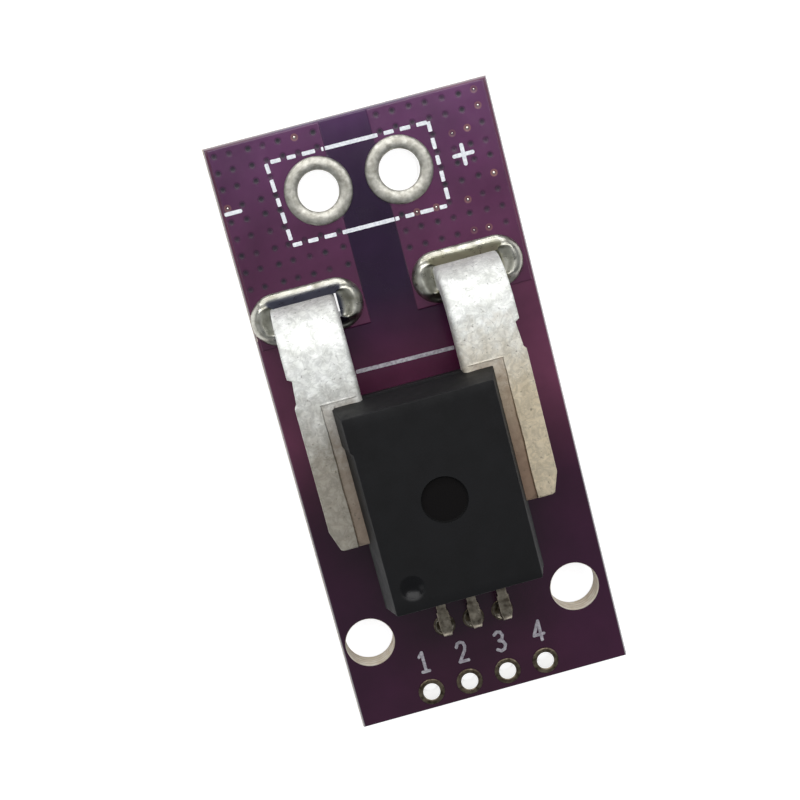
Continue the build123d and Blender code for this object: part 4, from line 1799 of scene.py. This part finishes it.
    def bar(self, shape: Shape, hand: Hand) -> None:
        """Add one bar, its bend and its leg.

        Args:
            shape: takes its faces and coined marks.
            hand: its side of the module.
        """
        rings = []
        for y, z, turn, inset in self.stations():
            ring = []
            for x, depth, mark in self.section(y, turn < 0.2, inset):
                here_x = self.shift + hand.value * x
                here_y = y - depth * math.sin(turn)
                here_z = z - depth * math.cos(turn)
                dent = self.dent * wobble(here_x, here_y, here_z, 0.8)
                ring.append((here_x, here_y - dent * math.sin(turn), here_z - abs(dent) * math.cos(turn)))
                shape.marks["coined"].append(mark)
            rings.append(ring)
        shape.loft(rings)

    def build(self) -> None:
        """Make the whole conductor as one piece."""
        shape = Shape(marks={"coined": []})
        for hand in Hand:
            self.bar(shape, hand)
        half = self.reach - self.bar_width + self.bridge_lap
        bridge = corners_of((self.shift - half, self.low.y + self.bridge_inset),
                            (self.shift + half, self.low.y + self.bridge_width))
        top = self.high.z - self.bridge_inset
        levels = (top, top - self.thickness + 2 * self.bridge_inset)
        shape.loft([[(x, y, z) for x, y in bridge] for z in levels])
        shape.marks["coined"] += [0.0] * (len(bridge) * len(levels))
        shape.build("conductor_plated", BAR, "tinned_copper", ("primary_conductor",))


@dataclass
class Case:
    """The moulding: drafted both ways from the parting line, with its recess and dimple."""

    side_draft: float = 0.56
    end_draft: float = 0.42
    width: float = 10.0
    corner: float = 0.05
    corner_more: float = 0.06
    edge: float = 0.06
    flash: float = 0.02
    recess_diameter: float = 2.8
    recess_depth: float = 0.2
    recess_run: float = 0.08
    recess_rings: tuple[float, ...] = (0.06, 0.0, -0.02, -0.04, -0.06, -0.08, -0.16)
    dimple_diameter: float = 1.5
    dimple_depth: float = 0.3
    dimple_from_side: float = 1.85
    dimple_from_end: float = 1.85
    dimple_rings: tuple[tuple[float, int], ...] = (
        (1.1, 36), (1.0, 36), (0.85, 30), (0.65, 24), (0.45, 18), (0.2, 8))
    gate_step: float = 0.16
    gate_length: float = 2.6
    gate_run: float = 0.16
    gate_rise: float = 0.3

    def __post_init__(self) -> None:
        """Read the case's place from the frame."""
        self.low, self.high = millimetres("sensor_case")
        self.center = (self.high.x - self.width / 2, (self.low.y + self.high.y) / 2)
        self.dimple = (self.center[0] - self.width / 2 + self.dimple_from_side,
                       self.low.y + self.dimple_from_end)
        self.length = self.high.y - self.low.y
        self.parting = (self.low.z + self.high.z) / 2
        self.bar_top = millimetres("primary_conductor")[1].z

    def outline(self, z: float, inset: float) -> list[Point]:
        """Outline of the case at one height, with the step of its gate on the left above the bar.

        Args:
            z: the height.
            inset: how far it's drawn in.

        Returns:
            The points in order.
        """
        part = abs(z - self.parting) / (self.high.z - self.parting)
        size = (self.width - 2 * self.side_draft * part - 2 * inset,
                self.length - 2 * self.end_draft * part - 2 * inset)
        found = []
        for x, y in soft_rectangle(size, self.corner + self.corner_more * part, 5, (16, 64)):
            step = 0.0
            if x < -0.4 * size[0] and z > self.bar_top - 0.05:
                along = self.length / 2 - self.gate_length - y
                step = self.gate_step * smooth_step(-along / self.gate_run)
                step *= smooth_step((z - self.bar_top) / self.gate_rise + 0.2)
            found.append((self.center[0] + x - step, self.center[1] + y, z))
        return found

    def sunk(self, x: float, y: float) -> float:
        """Depth of the recess and the dimple below the top face.

        Args:
            x: place across the case.
            y: place along it.

        Returns:
            The depth.
        """
        away = math.dist((x, y), self.center)
        depth = self.recess_depth * smooth_step((self.recess_diameter / 2 - away) / self.recess_run)
        part = math.dist((x, y), self.dimple) / (self.dimple_diameter / 2)
        return depth + self.dimple_depth * max(0.0, 1 - part**2)

    def levels(self) -> list[Flat]:
        """Lay out the outlines from the underside to the top.

        Returns:
            The height of each, and how far it's drawn in.
        """
        low, high, edge, bar = self.low.z, self.high.z, self.edge, self.bar_top
        return [(low, edge), (low + 0.3 * edge, 0.3 * edge), (low + edge, 0.0), (low + 1.6, 0.0),
                (self.parting - 0.04, 0.0), (self.parting - 0.02, -self.flash),
                (self.parting + 0.02, -self.flash), (self.parting + 0.04, 0.0),
                (bar - 0.1, 0.0), (bar + 0.02, 0.0), (bar + 0.15, 0.0), (bar + 0.35, 0.0), (high - 1.2, 0.0),
                (high - edge, 0.0), (high - 0.45 * edge, 0.18 * edge), (high - 0.15 * edge, 0.5 * edge),
                (high, edge)]

    def build(self) -> None:
        """Make the case as one closed moulding."""
        shape = Shape()
        rows = [shape.ring(self.outline(z, inset)) for z, inset in self.levels()]
        for first, second in zip(rows, rows[1:]):
            shape.bridge(first, second)
        shape.faces.append(tuple(reversed(rows[0])))
        sheet = Sheet([shape.points[i][:2] for i in rows[-1]])
        rim = self.recess_diameter / 2
        for step in self.recess_rings:
            sheet.extra += circle(self.center, rim + step, 72)
        for part, count in self.dimple_rings:
            sheet.extra += circle(self.dimple, part * self.dimple_diameter / 2, count)
        points, faces, _ = sheet.triangulate(pitch=0.6, clear=0.16)
        start = len(shape.points)
        recess = [0.0] * start
        dimple = [0.0] * start
        for x, y in points:
            shape.points.append((x, y, self.high.z - self.sunk(x, y)))
            recess.append(smooth_step((rim - math.dist((x, y), self.center)) / 0.1))
            reach = math.dist((x, y), self.dimple) / (self.dimple_diameter / 2)
            dimple.append(smooth_step((1.1 - reach) / 0.3))
        shape.marks = {"recess": recess, "dimple": dimple}
        shape.faces += [tuple(start + i for i in face) for face in faces]
        shape.build("case_moulded", COMPOUND, "mould_compound", ("sensor_case",))


@dataclass
class SignalLead:
    """One thin lead: out of the case, a tight bend and down through its hole."""

    index: int
    thickness: float = 0.38
    neck: float = 0.58
    shoulder: float = 0.73
    foot: float = 0.58
    shoulder_from_case: float = 1.12
    shoulder_length: float = 0.95
    step: float = 0.07
    splay: float = 0.50
    splay_steps: int = 5
    bend_radius: float = 0.45
    bend_steps: int = 12
    land: float = 0.13
    corner: float = 0.06

    def stations(self) -> list[tuple[float, float, float, float]]:
        """Lay out the sections along the lead, from the case to the foot.

        Returns:
            For each section y and z of its top, how far it has turned down, and its width.
        """
        low, high = millimetres(f"signal_lead_{self.index}")
        bottom, top = board_levels()
        outer = self.bend_radius + self.thickness
        knee_y = low.y + self.splay
        bend_y = knee_y + outer
        shoulder_y = millimetres("sensor_case")[0].y - self.shoulder_from_case
        end_y = shoulder_y - self.shoulder_length
        found = [(high.y, high.z, 0.0, self.neck), (shoulder_y + self.step, high.z, 0.0, self.neck),
                 (shoulder_y, high.z, 0.0, self.shoulder), (end_y, high.z, 0.0, self.shoulder)]
        for step in range(self.bend_steps + 1):
            turn = math.pi / 2 * step / self.bend_steps
            width = self.shoulder + (self.foot - self.shoulder) * smooth_step(2 * step / self.bend_steps)
            z = high.z - outer + outer * math.cos(turn)
            found.append((bend_y - outer * math.sin(turn), z, turn, width))
        land = top + self.land
        drop = high.z - outer
        for step in range(1, self.splay_steps + 1):
            part = step / self.splay_steps
            found.append((knee_y - self.splay * part, drop + (land - drop) * part, math.pi / 2, self.foot))
        return found + [(low.y, bottom, math.pi / 2, self.foot), (low.y, 0.0, math.pi / 2, self.foot)]

    def build(self) -> None:
        """Make the lead as a rounded strip."""
        name = f"signal_lead_{self.index}"
        low, high = millimetres(name)
        center_x = (low.x + high.x) / 2
        rings = []
        for y, z, turn, width in self.stations():
            ring = []
            for x, v in soft_rectangle((width, self.thickness), self.corner, 3, (4, 2)):
                depth = self.thickness / 2 - v
                ring.append((center_x + x, y + depth * math.sin(turn), z - depth * math.cos(turn)))
            rings.append(ring)
        shape = Shape()
        shape.loft(rings)
        shape.build(f"{name}_plated", LEAD, "tinned_lead", (name,))


@dataclass
class LeadSolder:
    """Solder round one lead: a shallow dish on top and a cone underneath."""

    index: int
    segments: int = 40
    dish: tuple[Flat, ...] = (
        (0.0, 0.03), (0.25, 0.04), (0.38, 0.09), (0.48, 0.17), (0.56, 0.2), (0.62, 0.16), (0.655, 0.08))
    cone: tuple[Flat, ...] = (
        (0.66, 0.08), (0.64, 0.2), (0.55, 0.36), (0.45, 0.48), (0.36, 0.53), (0.0, 0.54))
    lump: float = 0.03
    lump_wave: float = 0.3
    even_from: float = 0.63

    def build(self) -> None:
        """Make the joint as a turned, slightly lumpy form whose outer edge is even."""
        name = f"lead_joint_{self.index}"
        center = middle(name)
        bottom, top = board_levels()
        levels = [(r, top + z, self.lump) for r, z in self.dish]
        levels += [(r, bottom - z, -self.lump) for r, z in self.cone]
        rings = []
        for r, z, lump in levels:
            free = lump if r < self.even_from else 0.0
            outline = circle((center.x, center.y), max(r, 0.001), self.segments)
            rings.append([(x, y, z + free * wobble(x, y, z, self.lump_wave)) for x, y in outline])
        shape = Shape()
        shape.loft(rings)
        shape.build(f"{name}_reflowed", DULL_SOLDER, "solder", (name,))


def rounded_block(shape: Shape, low: Vector, high: Vector, corner: float, steps: int = 3) -> None:
    """Add a block with softened edges.

    Args:
        shape: takes its faces.
        low: lowest corner.
        high: highest corner.
        corner: radius of its edges.
        steps: steps round each edge.
    """
    center = (low + high) / 2
    turns = [math.pi / 2 * step / steps for step in range(steps + 1)]
    levels = [(low.z, 1, turn) for turn in turns] + [(high.z, -1, turn) for turn in reversed(turns)]
    rings = []
    for face, inwards, turn in levels:
        inset = corner * (1 - math.sin(turn))
        level = face + inwards * corner * (1 - math.cos(turn))
        size = (high.x - low.x - 2 * inset, high.y - low.y - 2 * inset)
        outline = soft_rectangle(size, corner, steps, (2, 2))
        rings.append([(center.x + x, center.y + y, level) for x, y in outline])
    shape.loft(rings)


@dataclass
class Chips:
    """Small capacitors and the resistor on the underside."""

    cap_length: float = 0.35
    cap_wall: float = 0.03
    corner: float = 0.05
    bodies: tuple[tuple[str, Finish, str], ...] = (
        ("bypass_capacitor", CERAMIC, "capacitor_ceramic"),
        ("filter_capacitor", CERAMIC, "capacitor_ceramic"),
        ("filter_resistor", GLAZE, "resistor_glaze"))

    def build(self) -> None:
        """Make the bodies and their metal ends."""
        ends = Shape()
        wall = Vector((self.cap_wall,) * 3)
        for name, finish, slot in self.bodies:
            low, high = millimetres(name)
            body = Shape()
            rounded_block(body, low, high, self.corner)
            body.build(f"{name}_fired", finish, slot, (name,))
            low, high = low - wall, high + wall
            rounded_block(ends, low, Vector((low.x + self.cap_length, high.y, high.z)), self.corner)
            rounded_block(ends, Vector((high.x - self.cap_length, low.y, low.z)), high, self.corner)
        ends.build("chip_ends_tinned", TIN, "tin_coat", ("chip_end_caps",))


@dataclass
class CarriedOver:
    """CAD nodes that keep their own form and get a real surface."""

    nodes: dict[str, bpy.types.Object]
    finishes: tuple[tuple[str, Finish], ...] = (
        ("circuit_board", LAMINATE), ("copper_pour", FOIL), ("chip_joints", SOLDER), ("flux_ring", IRON),
        ("hall_package", COMPOUND), ("hall_die", SILICON), ("bond_wires", GOLD))

    def build(self) -> None:
        """Dress each node."""
        for name, node in self.nodes.items():
            for prefix, finish in self.finishes:
                if name.startswith(prefix):
                    node.data.materials.clear()
                    node.data.materials.append(finish.material())
                    LOG.info("%s dressed as %s", name, finish.name)


@dataclass(frozen=True)
class Softbox:
    """An area lamp that looks at the module. Its radiance is 1 where its face is as bright as white."""

    name: str
    place_mm: Point
    size_mm: Flat
    radiance: float

    def build(self) -> None:
        """Hang the lamp."""
        data = bpy.data.lights.new(self.name, "AREA")
        data.shape = "RECTANGLE"
        data.size = self.size_mm[0] * MM
        data.size_y = self.size_mm[1] * MM
        data.energy = self.radiance * math.pi * data.size * data.size_y
        lamp = bpy.data.objects.new(self.name, data)
        lamp.location = Vector(self.place_mm) * MM
        lamp.rotation_euler = (-Vector(self.place_mm)).to_track_quat("-Z", "Y").to_euler()
        bpy.context.scene.collection.objects.link(lamp)


@dataclass
class Studio:
    """Pale floor, soft lamps and the camera of the photograph."""

    camera_place_mm: Point = (-3.746, 15.836, 88.629)
    camera_turn_deg: Point = (-8.9465, -4.1148, -14.6167)
    lens_mm: float = 62.89
    sensor_mm: float = 36.0
    floor_mm: float = 30000.0
    floor_below_mm: float = 0.005
    floor_hex: str = "B4B4B6"
    floor_glow: float = 0.86
    world_hex: str = "E8ECF2"
    world_strength: float = 0.34
    lamps: tuple[Softbox, ...] = (
        Softbox("overhead_softbox", (30.0, 155.0, 280.0), (520.0, 210.0), 2.8),
        Softbox("far_strip", (-20.0, 330.0, 150.0), (300.0, 60.0), 6.5),
        Softbox("left_fill", (-300.0, -40.0, 180.0), (160.0, 160.0), 0.6))

    def floor(self) -> None:
        """Lay the floor that the tails stand on."""
        half = self.floor_mm / 2 * MM
        corners = corners_of((-half, -half), (half, half))
        mesh = bpy.data.meshes.new("floor")
        mesh.from_pydata([(x, y, -self.floor_below_mm * MM) for x, y in corners], [], [(0, 1, 2, 3)])
        floor = bpy.data.objects.new("floor", mesh)
        bpy.context.scene.collection.objects.link(floor)
        made = bpy.data.materials.new("pale_paper")
        made.use_nodes = True
        tree = made.node_tree
        tree.nodes.clear()
        paper = add(tree, "BsdfDiffuse", {"Color": linear(self.floor_hex)})
        path = add(tree, "LightPath")
        seen = add(tree, "Math", {"operation": "MAXIMUM"},
                   {0: path.outputs["Is Camera Ray"], 1: path.outputs["Is Glossy Ray"]})
        seen = add(tree, "Math", {"operation": "MAXIMUM"},
                   {0: seen, 1: path.outputs["Is Transmission Ray"]})
        glow = add(tree, "Math", {"operation": "MULTIPLY", 1: self.floor_glow}, {0: seen})
        light = add(tree, "Emission", {}, {"Strength": glow})
        both = add(tree, "AddShader", {}, {0: paper, 1: light})
        add(tree, "OutputMaterial", {}, {"Surface": both})
        mesh.materials.append(made)

    def camera(self) -> None:
        """Stand the camera where the photograph was taken from."""
        data = bpy.data.cameras.new("camera")
        data.lens = self.lens_mm
        data.sensor_width = self.sensor_mm
        data.clip_start = MM
        camera = bpy.data.objects.new("camera", data)
        turn = Euler([math.radians(a) for a in self.camera_turn_deg]).to_matrix().to_4x4()
        camera.matrix_world = Matrix.Translation(Vector(self.camera_place_mm) * MM) @ turn
        bpy.context.scene.collection.objects.link(camera)
        bpy.context.scene.camera = camera

    def build(self) -> None:
        """Set up the floor, the light and the camera."""
        scene = bpy.context.scene
        scene.view_settings.view_transform = "Standard"
        world = bpy.data.worlds.new("studio")
        world.use_nodes = True
        sky = world.node_tree.nodes["Background"]
        sky.inputs["Color"].default_value = linear(self.world_hex)
        sky.inputs["Strength"].default_value = self.world_strength
        scene.world = world
        for lamp in self.lamps:
            lamp.build()
        self.floor()
        self.camera()
        LOG.info("studio ready")


def main() -> None:
    """Load the frame and build the module on it; each piece logs its points and faces."""
    logging.basicConfig(level=logging.INFO, format="%(name)s %(message)s")
    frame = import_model()
    mounts = {mount["name"]: mount for mount in frame["record"]["mounts"]}
    Studio().build()
    top = Lacquer(Side.TOP, mounts)
    pieces = [top, Lacquer(Side.BOTTOM, mounts), ViaPlugs(top), Legend(top), Eyelets(mounts)]
    pieces += [SlotSolder(hand) for hand in Hand]
    pieces += [Conductor(), Case()]
    for index in range(1, 4):
        pieces += [SignalLead(index), LeadSolder(index)]
    pieces += [Chips(), CarriedOver(frame["nodes"])]
    for piece in pieces:
        piece.build()


if __name__ == "__main__":
    main()
